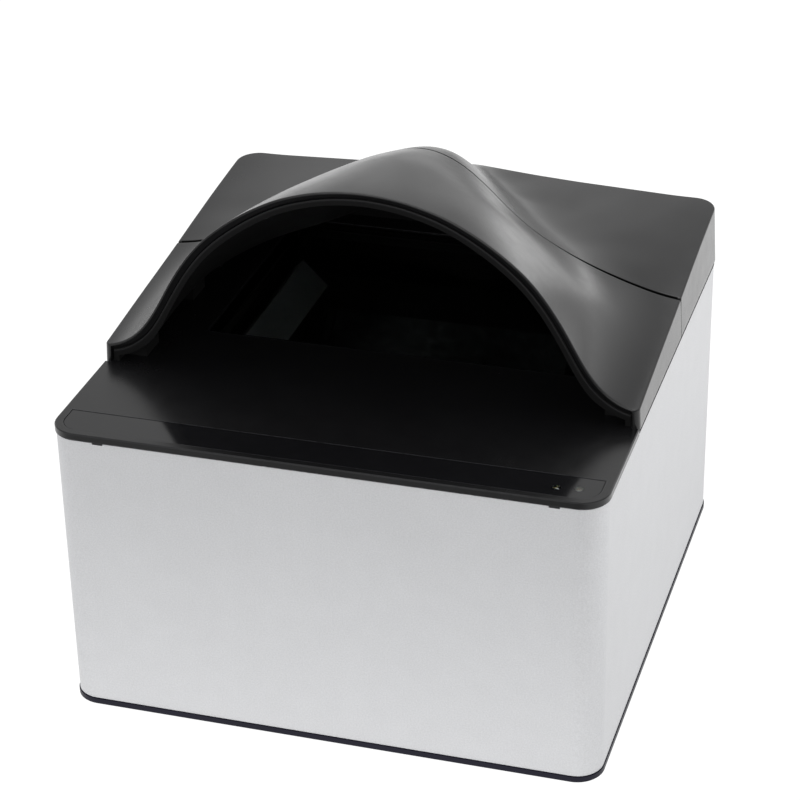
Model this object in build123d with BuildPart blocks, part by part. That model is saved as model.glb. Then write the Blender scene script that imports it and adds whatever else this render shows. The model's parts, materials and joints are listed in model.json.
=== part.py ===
from build123d import *
import math
import os

os.makedirs("parts", exist_ok=True)

# Passport reader: an aluminium sleeve between a plastic base plate and a
# plastic deck, with a hood over the document window.
# Millimetres. +Z up, +X to the right of a person who faces the mouth of the
# hood, +Y to the rear. Origin: middle of the footprint, on the desk surface.

# ------------------------------------------------------------ driving sizes
WIDTH = 190.0            # deck and hood, left to right
DEPTH = 195.56           # deck, front to rear
CORNER_R = 9.7           # vertical corners of the deck
Z_FOOT_SKIN = 0.8        # underside of the base plate above the desk
Z_FLANGE = 3.1           # top of the base plate flange, sleeve stands on it
Z_SLEEVE = 107.0         # top edge of the sleeve
Z_RIM = 107.25           # underside of the deck rim
Z_DECK = 109.7           # top of the deck
SLEEVE_INSET = 0.445     # sleeve set back from the deck edge, each side
BASE_INSET = 0.10
SLEEVE_WALL = 2.0
FIT = 0.2                # slip gap between nested covers

Y_LIP = -46.24           # front plane of the hood
Y_SEAM = 24.46           # middle of the gap between visor and roof
SEAM_GAP = 1.1
Z_HOOD_FOOT = 108.5      # lower edge of the hood walls, on the seal strip
DRAFT = 2.862            # hood walls lean in, degrees
SHELL = 2.5              # hood shell wall
FRONT_R = 2.2            # upright front corners of the hood walls
LINER_GAP = 0.25
LINER = 2.25             # liner wall
Y_LINER = -45.40         # liner stops a little behind the lip plane

WIN_Y = 34.0             # centre of the document window
GLASS = (136.0, 99.0, 3.1)
Z_GLASS = 109.3          # top of the glass, just under the deck surface

POSTS = [(-60.0, -88.0), (60.0, -88.0), (-86.0, 86.0), (86.0, 86.0)]
FEET = [(-72.0, -80.0), (72.0, -80.0), (-72.0, 80.0), (72.0, 80.0)]
VISOR_BOSS = [(-87.6, -34.0), (87.6, -34.0), (-87.6, 12.0), (87.6, 12.0)]
ROOF_BOSS = [(-87.6, 40.0), (87.6, 40.0), (-87.6, 70.0), (87.6, 70.0)]
CLAMP_EARS = [(s * 77.5, WIN_Y + d) for s in (-1, 1) for d in (-40.0, 0.0, 40.0)]
CHAMBER_FEET = [(s * 77.5, y) for s in (-1, 1) for y in (-22.0, 8.0)]
BRACKET_FEET = [(-14.0, -78.0), (14.0, -78.0)]
BOARD_POSTS = [(-74.0, 30.0), (74.0, 30.0), (-74.0, 72.0), (74.0, 72.0)]
LENS_Z = 50.0            # optical axis above the desk

POWER_LIGHT = (77.4, -89.8)
STATUS_LIGHT = (84.6, -89.0)
STRIP = (-91.7, 91.7, -94.75, -82.2)   # x0, x1, y0, y1
Z_POCKET = 108.8

ROCKER_X, ROCKER_Y, ROCKER_Z = 40.0, 92.0, 27.0
ROCKER_TILT = 8.0        # either side of the middle

# Height of the hood above the desk. Rows run from the lip to the rear, columns
# from the middle of the hood out to the side, every 5 mm; the left half mirrors
# the right half.
HOOD_Y = [-46.24, -39.74, -33.24, -26.74, -20.24, -13.74, -7.24, -0.74, 5.76, 12.26, 18.76, 25.26, 31.76, 38.26, 44.76, 51.26, 57.76, 64.26, 70.76, 77.26, 83.76, 90.26, 96.76]
HOOD_X = [5.0 * i for i in range(21)]
HOOD_Z = [
    [183.73, 183.55, 183.06, 182.26, 181.09, 179.59, 177.69, 175.27, 172.47, 169.23, 165.55, 161.29, 156.01, 149.31, 141.11, 131.98, 124.60, 119.82, 117.16, 116.01, 115.46],
    [183.58, 183.37, 182.77, 181.80, 180.49, 178.89, 176.89, 174.33, 171.34, 167.87, 163.99, 159.56, 154.26, 147.80, 140.14, 131.80, 125.04, 120.50, 117.86, 116.71, 116.17],
    [183.20, 182.95, 182.23, 181.10, 179.64, 177.90, 175.76, 173.06, 169.89, 166.26, 162.23, 157.70, 152.44, 146.26, 139.15, 131.58, 125.43, 121.13, 118.55, 117.39, 116.86],
    [182.64, 182.34, 181.49, 180.20, 178.57, 176.66, 174.34, 171.49, 168.16, 164.41, 160.29, 155.73, 150.57, 144.69, 138.14, 131.32, 125.77, 121.73, 119.22, 118.08, 117.56],
    [181.95, 181.59, 180.60, 179.15, 177.33, 175.21, 172.70, 169.67, 166.20, 162.34, 158.18, 153.64, 148.63, 143.10, 137.11, 131.03, 126.04, 122.28, 119.88, 118.76, 118.26],
    [181.15, 180.73, 179.61, 177.97, 175.95, 173.61, 170.87, 167.66, 164.03, 160.09, 155.91, 151.43, 146.62, 141.47, 136.06, 130.71, 126.21, 122.77, 120.52, 119.43, 118.94],
    [180.12, 179.66, 178.42, 176.61, 174.37, 171.76, 168.74, 165.29, 161.51, 157.52, 153.38, 149.01, 144.45, 139.71, 134.89, 130.28, 126.29, 123.18, 121.12, 120.09, 119.62],
    [178.63, 178.16, 176.86, 174.92, 172.43, 169.49, 166.08, 162.32, 158.41, 154.45, 150.45, 146.29, 142.03, 137.74, 133.52, 129.67, 126.27, 123.52, 121.67, 120.72, 120.27],
    [176.77, 176.30, 174.98, 172.92, 170.18, 166.85, 163.00, 158.91, 154.89, 151.05, 147.27, 143.40, 139.54, 135.73, 132.11, 129.00, 126.22, 123.83, 122.22, 121.35, 120.93],
    [174.68, 174.22, 172.86, 170.67, 167.65, 163.91, 159.63, 155.26, 151.19, 147.52, 144.03, 140.54, 137.13, 133.86, 130.85, 128.38, 126.17, 124.15, 122.77, 121.99, 121.59],
    [172.51, 172.04, 170.60, 168.22, 164.89, 160.76, 156.14, 151.59, 147.55, 144.08, 140.92, 137.87, 135.00, 132.33, 129.93, 127.94, 126.17, 124.52, 123.36, 122.66, 122.27],
    [170.36, 169.85, 168.24, 165.57, 161.87, 157.41, 152.62, 148.08, 144.15, 140.89, 138.08, 135.55, 133.30, 131.27, 129.49, 127.83, 126.33, 125.02, 124.03, 123.37, 122.99],
    [168.14, 167.53, 165.59, 162.47, 158.31, 153.59, 148.90, 144.64, 140.97, 137.95, 135.48, 133.56, 131.98, 130.59, 129.35, 128.09, 126.87, 125.73, 124.79, 124.13, 123.76],
    [165.60, 164.86, 162.56, 158.97, 154.42, 149.61, 145.19, 141.34, 138.06, 135.48, 133.54, 132.17, 131.13, 130.22, 129.35, 128.41, 127.45, 126.43, 125.53, 124.90, 124.52],
    [162.59, 161.72, 159.10, 155.14, 150.41, 145.75, 141.69, 138.27, 135.54, 133.58, 132.27, 131.34, 130.65, 130.05, 129.38, 128.62, 127.83, 126.97, 126.18, 125.61, 125.24],
    [159.21, 158.18, 155.27, 151.06, 146.33, 142.07, 138.62, 135.84, 133.80, 132.47, 131.61, 131.00, 130.53, 130.06, 129.50, 128.87, 128.21, 127.49, 126.82, 126.32, 125.98],
    [155.50, 154.28, 151.12, 146.81, 142.34, 138.72, 136.06, 134.08, 132.74, 131.91, 131.31, 130.91, 130.57, 130.21, 129.73, 129.19, 128.64, 128.02, 127.46, 127.03, 126.74],
    [151.65, 150.24, 146.80, 142.62, 138.83, 136.07, 134.25, 132.98, 132.15, 131.60, 131.21, 130.92, 130.63, 130.31, 129.89, 129.44, 128.97, 128.45, 127.99, 127.67, 127.44],
    [147.77, 146.17, 142.58, 138.86, 136.05, 134.22, 133.13, 132.39, 131.87, 131.46, 131.20, 130.97, 130.69, 130.38, 130.00, 129.64, 129.25, 128.82, 128.47, 128.26, 128.09],
    [143.85, 142.19, 138.92, 136.14, 134.40, 133.37, 132.71, 132.20, 131.81, 131.44, 131.20, 131.00, 130.75, 130.45, 130.10, 129.82, 129.51, 129.19, 128.95, 128.83, 128.70],
    [140.11, 138.65, 136.14, 134.44, 133.52, 132.99, 132.56, 132.15, 131.81, 131.45, 131.21, 131.02, 130.80, 130.52, 130.22, 129.98, 129.77, 129.55, 129.41, 129.37, 129.30],
    [136.92, 136.01, 134.60, 133.72, 133.17, 132.78, 132.44, 132.10, 131.79, 131.48, 131.26, 131.06, 130.86, 130.62, 130.36, 130.16, 130.01, 129.89, 129.84, 129.86, 129.86],
    [134.38, 134.19, 133.85, 133.45, 133.04, 132.65, 132.34, 132.03, 131.74, 131.52, 131.32, 131.12, 130.92, 130.72, 130.52, 130.32, 130.20, 130.18, 130.19, 130.27, 130.36],
]


def keep(piece, label):
    """Name a finished piece and write its STEP file."""
    piece.part.label = label
    export_step(piece.part, "parts/" + label + ".step")
    print(label, len(piece.part.solids()), round(piece.part.volume, 1))


# ------------------------------------------------------------ hood surfaces
def hood_grid(drop):
    """Grid of points on the hood's top surface, or on one parallel to it below."""
    xs = [-x for x in HOOD_X[:0:-1]] + HOOD_X
    rows = [r[:0:-1] + r for r in HOOD_Z]
    first = [2 * a - b for a, b in zip(rows[0], rows[1])]
    last = [2 * a - b for a, b in zip(rows[-1], rows[-2])]
    rows = [first] + rows + [last]
    ys = [2 * HOOD_Y[0] - HOOD_Y[1]] + HOOD_Y + [2 * HOOD_Y[-1] - HOOD_Y[-2]]
    out = []
    for j, y in enumerate(ys):
        line = []
        for i, x in enumerate(xs):
            i0, i1 = max(i - 1, 0), min(i + 1, len(xs) - 1)
            j0, j1 = max(j - 1, 0), min(j + 1, len(ys) - 1)
            gx = (rows[j][i1] - rows[j][i0]) / (xs[i1] - xs[i0])
            gy = (rows[j1][i] - rows[j0][i]) / (ys[j1] - ys[j0])
            line.append(Vector(x, y, rows[j][i] - drop * math.sqrt(1 + gx * gx + gy * gy)))
        out.append(line)
    return out


def hood_block(inset, drop, front=None, front_r=0.0):
    """Closed block under the hood surface, inside its drafted side walls."""
    skin = Face.make_surface_from_array_of_points(hood_grid(drop), tol=0.05, min_deg=3, max_deg=5)
    with BuildPart() as under:
        extrude(skin, amount=90.0, dir=(0, 0, -1))
    with BuildPart() as block:
        with BuildSketch(Plane.XY.offset(Z_HOOD_FOOT)):
            RectangleRounded(WIDTH - 2 * inset, DEPTH - 2 * inset, CORNER_R - inset)
        extrude(amount=85.0, taper=DRAFT)
        if front is not None:
            # upright front plane, with its two corners rounded off
            with Locations((0, front - 100, 150)):
                Box(400, 200, 400, mode=Mode.SUBTRACT)
            upright = [e for e in block.edges() if e.length > 60 and abs(e.center().Y - front) < 0.01
                       and abs(e.tangent_at(0.5).Z) > 0.9]
            fillet(upright, front_r)
        add(under.part, mode=Mode.INTERSECT)
    return block.part


outer_block = hood_block(0.0, 0.0, Y_LIP, FRONT_R)
shell_void = hood_block(SHELL, SHELL)
liner_block = hood_block(SHELL + LINER_GAP, SHELL + LINER_GAP, Y_LINER, 0.8)
liner_void = hood_block(SHELL + LINER_GAP + LINER, SHELL + LINER_GAP + LINER)
print("hood blocks", [round(b.volume) for b in (outer_block, shell_void, liner_block, liner_void)])


def hood_half(y0, y1, bosses):
    """One shell of the hood between two planes across it, with its screw bosses."""
    with BuildPart() as posts:
        for bx, by in bosses:
            s = 1 if bx > 0 else -1
            with Locations((bx, by, Z_DECK)):
                Cylinder(3.3, 20.0, align=(Align.CENTER, Align.CENTER, Align.MIN))
            with Locations((s * 90.6, by, Z_DECK)):
                Box(5.6, 3.0, 20.0, align=(Align.CENTER, Align.CENTER, Align.MIN))
        add(outer_block, mode=Mode.INTERSECT)
    with BuildPart() as half:
        add(outer_block)
        add(shell_void, mode=Mode.SUBTRACT)
        add(posts.part)
        with Locations((0, (y0 + y1) / 2, 150)):
            Box(2 * WIDTH, y1 - y0, 200, mode=Mode.INTERSECT)
        for bx, by in bosses:
            with Locations((bx, by, Z_DECK)):
                Cylinder(1.25, 6.0, align=(Align.CENTER, Align.CENTER, Align.MIN), mode=Mode.SUBTRACT)
    return half


hood_visor = hood_half(Y_LIP - 5.0, Y_SEAM - SEAM_GAP / 2, VISOR_BOSS)
keep(hood_visor, "hood_visor")
hood_roof = hood_half(Y_SEAM + SEAM_GAP / 2, 110.0, ROOF_BOSS)
keep(hood_roof, "hood_roof")

# matt inner shell; it carries a cover round each screw boss
with BuildPart() as boss_covers:
    for bx, by in VISOR_BOSS + ROOF_BOSS:
        s = 1 if bx > 0 else -1
        with Locations((s * 87.0, by, Z_DECK)):
            Box(10.4, 11.4, 9.0, align=(Align.CENTER, Align.CENTER, Align.MIN))
with BuildPart() as liner_room:
    add(liner_void)
    add(boss_covers.part, mode=Mode.SUBTRACT)
    with Locations((0, Y_LINER - 20, 150)):
        Box(400, 40, 200)
with BuildPart() as hood_liner:
    add(liner_block)
    add(liner_room.part, mode=Mode.SUBTRACT)
    with Locations((0, 0, Z_DECK)):
        Box(400, 400, 100, align=(Align.CENTER, Align.CENTER, Align.MIN), mode=Mode.INTERSECT)
    for bx, by in VISOR_BOSS + ROOF_BOSS:
        s = 1 if bx > 0 else -1
        with Locations((s * 88.9, by, Z_DECK)):
            Box(9.8, 7.6, 24.0, align=(Align.CENTER, Align.CENTER, Align.MIN), mode=Mode.SUBTRACT)
keep(hood_liner, "hood_liner")

# soft strip between the hood's foot and the sleeve, which keeps stray light out
with BuildPart() as hood_seal:
    with BuildSketch(Plane.XY.offset(Z_SLEEVE)):
        RectangleRounded(189.4, DEPTH - 0.6, CORNER_R - 0.3)
        RectangleRounded(185.0, 190.56, 7.2, mode=Mode.SUBTRACT)
        with Locations((0, Y_LIP - 100)):
            Rectangle(400, 200, mode=Mode.SUBTRACT)
    extrude(amount=Z_HOOD_FOOT - Z_SLEEVE)
keep(hood_seal, "hood_seal")

# ------------------------------------------------------------------ base
with BuildPart() as base_plate:
    with BuildSketch(Plane.XY.offset(Z_FOOT_SKIN)):
        RectangleRounded(WIDTH - 2 * BASE_INSET, DEPTH - 2 * BASE_INSET, CORNER_R - BASE_INSET)
    extrude(amount=Z_FLANGE - Z_FOOT_SKIN)
    chamfer(base_plate.faces().sort_by(Axis.Z)[0].edges(), 0.4)
    with BuildSketch(Plane.XY.offset(Z_FLANGE)):
        RectangleRounded(184.6, 190.16, 7.0)
        RectangleRounded(180.6, 186.16, 5.0, mode=Mode.SUBTRACT)
    extrude(amount=4.9)
    with Locations(*[(x, y, Z_FLANGE) for x, y in POSTS]):
        Cylinder(4.4, 2.9, align=(Align.CENTER, Align.CENTER, Align.MIN))
    with Locations(*[(x, y, Z_FLANGE) for x, y in CHAMBER_FEET]):
        Cylinder(3.4, 6.9, align=(Align.CENTER, Align.CENTER, Align.MIN))
    with Locations(*[(x, y, Z_FLANGE) for x, y in BRACKET_FEET]):
        Cylinder(3.6, 2.9, align=(Align.CENTER, Align.CENTER, Align.MIN))
    with Locations(*[(x, y, 0) for x, y in FEET]):
        Cylinder(7.1, 2.0, align=(Align.CENTER, Align.CENTER, Align.MIN), mode=Mode.SUBTRACT)
    with Locations(*[(x, y, 0) for x, y in POSTS]):
        Cylinder(3.1, 3.2, align=(Align.CENTER, Align.CENTER, Align.MIN), mode=Mode.SUBTRACT)
        Cylinder(1.7, 8.0, align=(Align.CENTER, Align.CENTER, Align.MIN), mode=Mode.SUBTRACT)
    with Locations(*[(x, y, 5.0) for x, y in CHAMBER_FEET]):
        Cylinder(1.1, 6.0, align=(Align.CENTER, Align.CENTER, Align.MIN), mode=Mode.SUBTRACT)
    with Locations(*[(x, y, 2.6) for x, y in BRACKET_FEET]):
        Cylinder(1.1, 4.0, align=(Align.CENTER, Align.CENTER, Align.MIN), mode=Mode.SUBTRACT)
keep(base_plate, "base_plate")

with BuildPart() as rubber_feet:
    with Locations(*[(x, y, 0) for x, y in FEET]):
        Cylinder(7.0, 2.0, align=(Align.CENTER, Align.CENTER, Align.MIN))
    chamfer(rubber_feet.faces().filter_by(Axis.Z).group_by(Axis.Z)[0].edges(), 0.4)
keep(rubber_feet, "rubber_feet")

with BuildPart() as chassis_posts:
    with Locations(*[(x, y, 6.0) for x, y in POSTS]):
        Cylinder(4.2, 98.5, align=(Align.CENTER, Align.CENTER, Align.MIN))
        Cylinder(1.5, 12.0, align=(Align.CENTER, Align.CENTER, Align.MIN), mode=Mode.SUBTRACT)
    with Locations(*[(x, y, 92.5) for x, y in POSTS]):
        Cylinder(1.5, 12.0, align=(Align.CENTER, Align.CENTER, Align.MIN), mode=Mode.SUBTRACT)
keep(chassis_posts, "chassis_posts")


def screws(name, places, head_r, head_z0, head_z1, shank_r, shank_z0, shank_z1, socket=True):
    """Pan-head screws that stand along Z: one solid each, with a hexagon socket."""
    up = shank_z1 > head_z1
    with BuildPart() as group:
        with Locations(*[(x, y, min(head_z0, head_z1)) for x, y in places]):
            Cylinder(head_r, abs(head_z1 - head_z0), align=(Align.CENTER, Align.CENTER, Align.MIN))
        with Locations(*[(x, y, min(shank_z0, shank_z1)) for x, y in places]):
            Cylinder(shank_r, abs(shank_z1 - shank_z0), align=(Align.CENTER, Align.CENTER, Align.MIN))
        if socket:
            deep = 0.55 * abs(head_z1 - head_z0)
            with BuildSketch(Plane.XY.offset(head_z0)):
                with Locations(*[(x, y) for x, y in places]):
                    RegularPolygon(head_r * 0.5, 6)
            extrude(amount=deep if up else -deep, mode=Mode.SUBTRACT)
    keep(group, name)
    return group


# head_z0 is the free face of the head, the shank starts at its other face
base_screws = screws("base_screws", POSTS, 2.8, 1.1, 3.2, 1.45, 3.2, 15.0)
deck_screws = screws("deck_screws", POSTS, 2.75, 108.6, 107.0, 1.45, 107.0, 95.0)
hood_screws = screws("hood_screws", VISOR_BOSS + ROOF_BOSS, 2.3, 105.65, Z_RIM, 1.2, Z_RIM, 115.0)
clamp_screws = screws("clamp_screws", CLAMP_EARS, 2.2, 101.0, 102.5, 0.95, 102.5, 108.0)

# the same small screw holds the chamber's tabs and the camera bracket
with BuildPart() as chassis_screws:
    for places, seat in ((CHAMBER_FEET, 12.0), (BRACKET_FEET, 7.5)):
        with Locations(*[(x, y, seat) for x, y in places]):
            Cylinder(2.2, 1.5, align=(Align.CENTER, Align.CENTER, Align.MIN))
            Cylinder(1.05, 4.6, align=(Align.CENTER, Align.CENTER, Align.MAX))
        with BuildSketch(Plane.XY.offset(seat + 1.5)):
            with Locations(*places):
                RegularPolygon(1.1, 6)
        extrude(amount=-0.8, mode=Mode.SUBTRACT)
keep(chassis_screws, "chassis_screws")

# ---------------------------------------------------------------- sleeve
SW, SD = WIDTH - 2 * SLEEVE_INSET, DEPTH - 2 * SLEEVE_INSET
SR = CORNER_R - SLEEVE_INSET
with BuildPart() as aluminium_sleeve:
    with BuildSketch(Plane.XY.offset(Z_FLANGE)):
        RectangleRounded(SW, SD, SR)
    extrude(amount=Z_SLEEVE - Z_FLANGE)
    chamfer(aluminium_sleeve.faces().filter_by(Axis.Z).edges(), 0.3)
    with BuildSketch(Plane.XY.offset(0)):
        RectangleRounded(SW - 2 * SLEEVE_WALL, SD - 2 * SLEEVE_WALL, SR - SLEEVE_WALL)
    extrude(amount=120, mode=Mode.SUBTRACT)
    with BuildSketch(Plane.XZ.offset(-SD / 2 - 1)):
        with Locations((0, 26.5)):
            RectangleRounded(104, 31, 3)
    extrude(amount=6, mode=Mode.SUBTRACT)
    with Locations((-76.8, -SD / 2, Z_SLEEVE), (78.6, -SD / 2, Z_SLEEVE)):
        Box(3.9, 2 * SLEEVE_WALL + 0.2, 1.5, mode=Mode.SUBTRACT)
    with Locations(*[(x, SD / 2 + 1, z) for x in (-54.8, 54.8) for z in (15.0, 38.0)]):
        Cylinder(1.5, 6.0, rotation=(90, 0, 0), mode=Mode.SUBTRACT)
    with Locations(*[(x, SD / 2 - 0.55, z) for x in (-54.8, 54.8) for z in (15.0, 38.0)]):
        Cylinder(2.5, 1.1, rotation=(90, 0, 0), mode=Mode.SUBTRACT)
keep(aluminium_sleeve, "aluminium_sleeve")

# ------------------------------------------------------------------ deck
with BuildPart() as strip_pocket:
    with BuildSketch(Plane.XY.offset(Z_POCKET)):
        with Locations((0, (STRIP[2] + STRIP[3]) / 2)):
            Rectangle(STRIP[1] - STRIP[0] + 0.5, STRIP[3] - STRIP[2] + 0.5)
    extrude(amount=3)
    fillet(strip_pocket.edges().filter_by(Axis.Z).group_by(Axis.Y)[0], 6.75)

with BuildPart() as top_deck:
    with BuildSketch(Plane.XY.offset(Z_RIM)):
        RectangleRounded(WIDTH, DEPTH, CORNER_R)
    extrude(amount=Z_DECK - Z_RIM)
    chamfer(top_deck.faces().sort_by(Axis.Z)[-1].edges(), 0.35)
    with BuildSketch(Plane.XY.offset(Z_RIM - 1)):
        with Locations((0, 100 + Y_LIP - FIT)):
            Rectangle(400, 200)
        RectangleRounded(184.6, 190.16, 7.0, mode=Mode.SUBTRACT)
    extrude(amount=10, mode=Mode.SUBTRACT)
    with BuildSketch(Plane.XY.offset(Z_RIM)):
        RectangleRounded(184.6, 190.16, 7.0)
        RectangleRounded(181.4, 186.96, 5.4, mode=Mode.SUBTRACT)
    extrude(amount=-3.75)
    with Locations(*[(x, y, 104.5) for x, y in POSTS]):
        Cylinder(4.3, 2.75, align=(Align.CENTER, Align.CENTER, Align.MIN))
    with Locations(*[(x, y, 104.5) for x, y in CLAMP_EARS]):
        Cylinder(3.0, 2.75, align=(Align.CENTER, Align.CENTER, Align.MIN))
    with Locations((71.0, -84.0, 103.5), (86.0, -83.6, 103.5)):
        Cylinder(2.0, 3.75, align=(Align.CENTER, Align.CENTER, Align.MIN))
    with Locations((-76.8, -DEPTH / 2 + 1.3, Z_RIM), (78.6, -DEPTH / 2 + 1.3, Z_RIM)):
        Box(3.4, 1.7, 1.6)
    with BuildSketch(Plane.XY.offset(Z_RIM)):
        with Locations((0, WIN_Y)):
            RectangleRounded(GLASS[0] + 0.6, GLASS[1] + 0.6, 2.1)
    extrude(amount=10, mode=Mode.SUBTRACT)
    add(strip_pocket.part, mode=Mode.SUBTRACT)
    with Locations(*[(x, y, 107.0) for x, y in POSTS]):
        Cylinder(3.0, 6.0, align=(Align.CENTER, Align.CENTER, Align.MIN), mode=Mode.SUBTRACT)
    with Locations(*[(x, y, 103.0) for x, y in POSTS]):
        Cylinder(1.7, 6.0, align=(Align.CENTER, Align.CENTER, Align.MIN), mode=Mode.SUBTRACT)
    with Locations(*[(x, y, 103.0) for x, y in VISOR_BOSS + ROOF_BOSS]):
        Cylinder(1.4, 12.0, align=(Align.CENTER, Align.CENTER, Align.MIN), mode=Mode.SUBTRACT)
    with Locations(*[(x, y, 103.0) for x, y in CLAMP_EARS]):
        Cylinder(1.0, 5.6, align=(Align.CENTER, Align.CENTER, Align.MIN), mode=Mode.SUBTRACT)
    with Locations((71.0, -84.0, 103.0), (86.0, -83.6, 103.0)):
        Cylinder(0.8, 4.6, align=(Align.CENTER, Align.CENTER, Align.MIN), mode=Mode.SUBTRACT)
    with Locations((*POWER_LIGHT, 105.0), (*STATUS_LIGHT, 105.0)):
        Cylinder(1.75, 8.0, align=(Align.CENTER, Align.CENTER, Align.MIN), mode=Mode.SUBTRACT)
keep(top_deck, "top_deck")

with BuildPart() as label_strip:
    with BuildSketch(Plane.XY.offset(Z_POCKET)):
        with Locations((0, (STRIP[2] + STRIP[3]) / 2)):
            Rectangle(STRIP[1] - STRIP[0], STRIP[3] - STRIP[2])
    extrude(amount=0.78)
    fillet(label_strip.edges().filter_by(Axis.Z).group_by(Axis.Y)[0], 6.5)
    with Locations((*POWER_LIGHT, 105.0), (*STATUS_LIGHT, 105.0)):
        Cylinder(1.6, 8.0, align=(Align.CENTER, Align.CENTER, Align.MIN), mode=Mode.SUBTRACT)
keep(label_strip, "label_strip")


# one light pipe under each light window
with BuildPart() as light_pipes:
    with Locations((*POWER_LIGHT, 104.5), (*STATUS_LIGHT, 104.5)):
        Cylinder(2.4, 2.0, align=(Align.CENTER, Align.CENTER, Align.MIN))
        Cylinder(1.5, 5.08, align=(Align.CENTER, Align.CENTER, Align.MIN))
keep(light_pipes, "light_pipes")

# -------------------------------------------------------- document window
with BuildPart() as document_glass:
    with BuildSketch(Plane.XY.offset(Z_GLASS - GLASS[2])):
        with Locations((0, WIN_Y)):
            RectangleRounded(GLASS[0], GLASS[1], 1.8)
    extrude(amount=GLASS[2])
    chamfer(document_glass.faces().sort_by(Axis.Z)[-1].edges(), 0.3)
keep(document_glass, "document_glass")

with BuildPart() as glass_seal:
    with BuildSketch(Plane.XY.offset(105.7)):
        with Locations((0, WIN_Y)):
            RectangleRounded(GLASS[0], GLASS[1], 1.8)
            RectangleRounded(130, 93, 1.0, mode=Mode.SUBTRACT)
    extrude(amount=0.5)
keep(glass_seal, "glass_seal")

with BuildPart() as glass_clamp_frame:
    with BuildSketch(Plane.XY.offset(102.5)):
        with Locations((0, WIN_Y)):
            RectangleRounded(146, 109, 4)
    extrude(amount=Z_RIM - 102.5)
    with BuildSketch(Plane.XY.offset(102.5)):
        with Locations(*CLAMP_EARS):
            Circle(4.0)
        with Locations(*[(math.copysign(74.8, x), y) for x, y in CLAMP_EARS]):
            Rectangle(6, 8)
    extrude(amount=2.0)
    with BuildSketch(Plane.XY.offset(105.7)):
        with Locations((0, WIN_Y)):
            RectangleRounded(GLASS[0] + 0.4, GLASS[1] + 0.4, 2.0)
    extrude(amount=5, mode=Mode.SUBTRACT)
    with BuildSketch(Plane.XY.offset(100)):
        with Locations((0, WIN_Y)):
            RectangleRounded(128, 91, 1.5)
    extrude(amount=12, mode=Mode.SUBTRACT)
    with Locations(*[(x, y, 101.0) for x, y in CLAMP_EARS]):
        Cylinder(1.2, 6.0, align=(Align.CENTER, Align.CENTER, Align.MIN), mode=Mode.SUBTRACT)
keep(glass_clamp_frame, "glass_clamp_frame")

with BuildPart() as antenna_board:
    with BuildSketch(Plane.XY.offset(Z_RIM - 1.6)):
        with Locations((0, 31.25)):
            Rectangle(165, 122.5)
        with Locations((0, WIN_Y)):
            RectangleRounded(146.8, 109.8, 4.4, mode=Mode.SUBTRACT)
        with Locations(*CLAMP_EARS):
            Circle(3.3, mode=Mode.SUBTRACT)
    extrude(amount=1.6)
    chamfer(antenna_board.edges().filter_by(Axis.Z).group_by(Axis.Y)[-1], 11.0)
keep(antenna_board, "antenna_board")

# ------------------------------------------------------- optical chamber
SIDE = 73.0
CHAMBER_YZ = [(-21, 102.5), (-29, 66), (-29, 28), (2, 12), (15, 12), (87, 84), (87, 102.5)]
with BuildPart() as chamber_void:
    with BuildSketch(Plane.YZ.offset(-SIDE + 2)):
        with BuildLine():
            Polyline(*CHAMBER_YZ, close=True)
        make_face()
        offset(amount=-2.0, kind=Kind.INTERSECTION, mode=Mode.REPLACE)
    extrude(amount=2 * SIDE - 4)
    with Locations((0, 33.0, 100)):
        Box(2 * SIDE - 4, 103.5, 10)
with BuildPart() as optical_chamber:
    with BuildSketch(Plane.YZ.offset(-SIDE)):
        with BuildLine():
            Polyline(*CHAMBER_YZ, close=True)
        make_face()
    extrude(amount=2 * SIDE)
    add(chamber_void.part, mode=Mode.SUBTRACT)
    for s in (-1, 1):
        # ledge that tilts the lamp board towards the window
        with BuildSketch(Plane.XZ.offset(-80)):
            with BuildLine():
                Polyline((s * 71.5, 74), (s * 71.5, 90.5), (s * 57, 76), (s * 57, 74), close=True)
            make_face()
        extrude(amount=88)
        # foot: cheek that carries the side wall down to two tabs
        with Locations((s * 72.0, -7.0, 10.0)):
            Box(2, 42, 16, align=(Align.CENTER, Align.CENTER, Align.MIN))
        with Locations((s * 76.9, -22.0, 10.0), (s * 76.9, 8.0, 10.0)):
            Box(9.8, 9, 2, align=(Align.CENTER, Align.CENTER, Align.MIN))
        # slot for the lamp ribbon
        with Locations((s * 68.0, 45.0, 80.0)):
            Box(17, 11, 2.8, mode=Mode.SUBTRACT)
    with Locations(*[(x, y, 9.0) for x, y in CHAMBER_FEET]):
        Cylinder(1.3, 5.0, align=(Align.CENTER, Align.CENTER, Align.MIN), mode=Mode.SUBTRACT)
    with Locations((0, -28, LENS_Z)):
        Cylinder(11.0, 8.0, rotation=(90, 0, 0), mode=Mode.SUBTRACT)
keep(optical_chamber, "optical_chamber")

# mirror at 45 degrees turns the view from the window towards the camera
MIRROR = Plane(origin=(0, WIN_Y, LENS_Z), x_dir=(1, 0, 0), z_dir=(0, -1, 1))
with BuildPart() as fold_mirror:
    with BuildSketch(MIRROR):
        Rectangle(92, 86)
    extrude(amount=-3.0)
keep(fold_mirror, "fold_mirror")
with BuildPart() as mirror_bracket:
    with BuildSketch(MIRROR.offset(-3.0)):
        Rectangle(100, 86)
        Rectangle(60, 50, mode=Mode.SUBTRACT)
    extrude(amount=-2.0)
    with BuildSketch(MIRROR.offset(-5.0)):
        with Locations((-44, 0), (44, 0)):
            Rectangle(6, 76)
    extrude(amount=-6.42)
    with BuildSketch(MIRROR.offset(-3.0)):
        with Locations((-48.5, 0), (48.5, 0)):
            Rectangle(3, 86)
    extrude(amount=3.0)
    with BuildSketch(MIRROR.offset(0)):
        with Locations((-47.5, 0), (47.5, 0)):
            Rectangle(5, 20)
    extrude(amount=1.0)
keep(mirror_bracket, "mirror_bracket")

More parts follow.
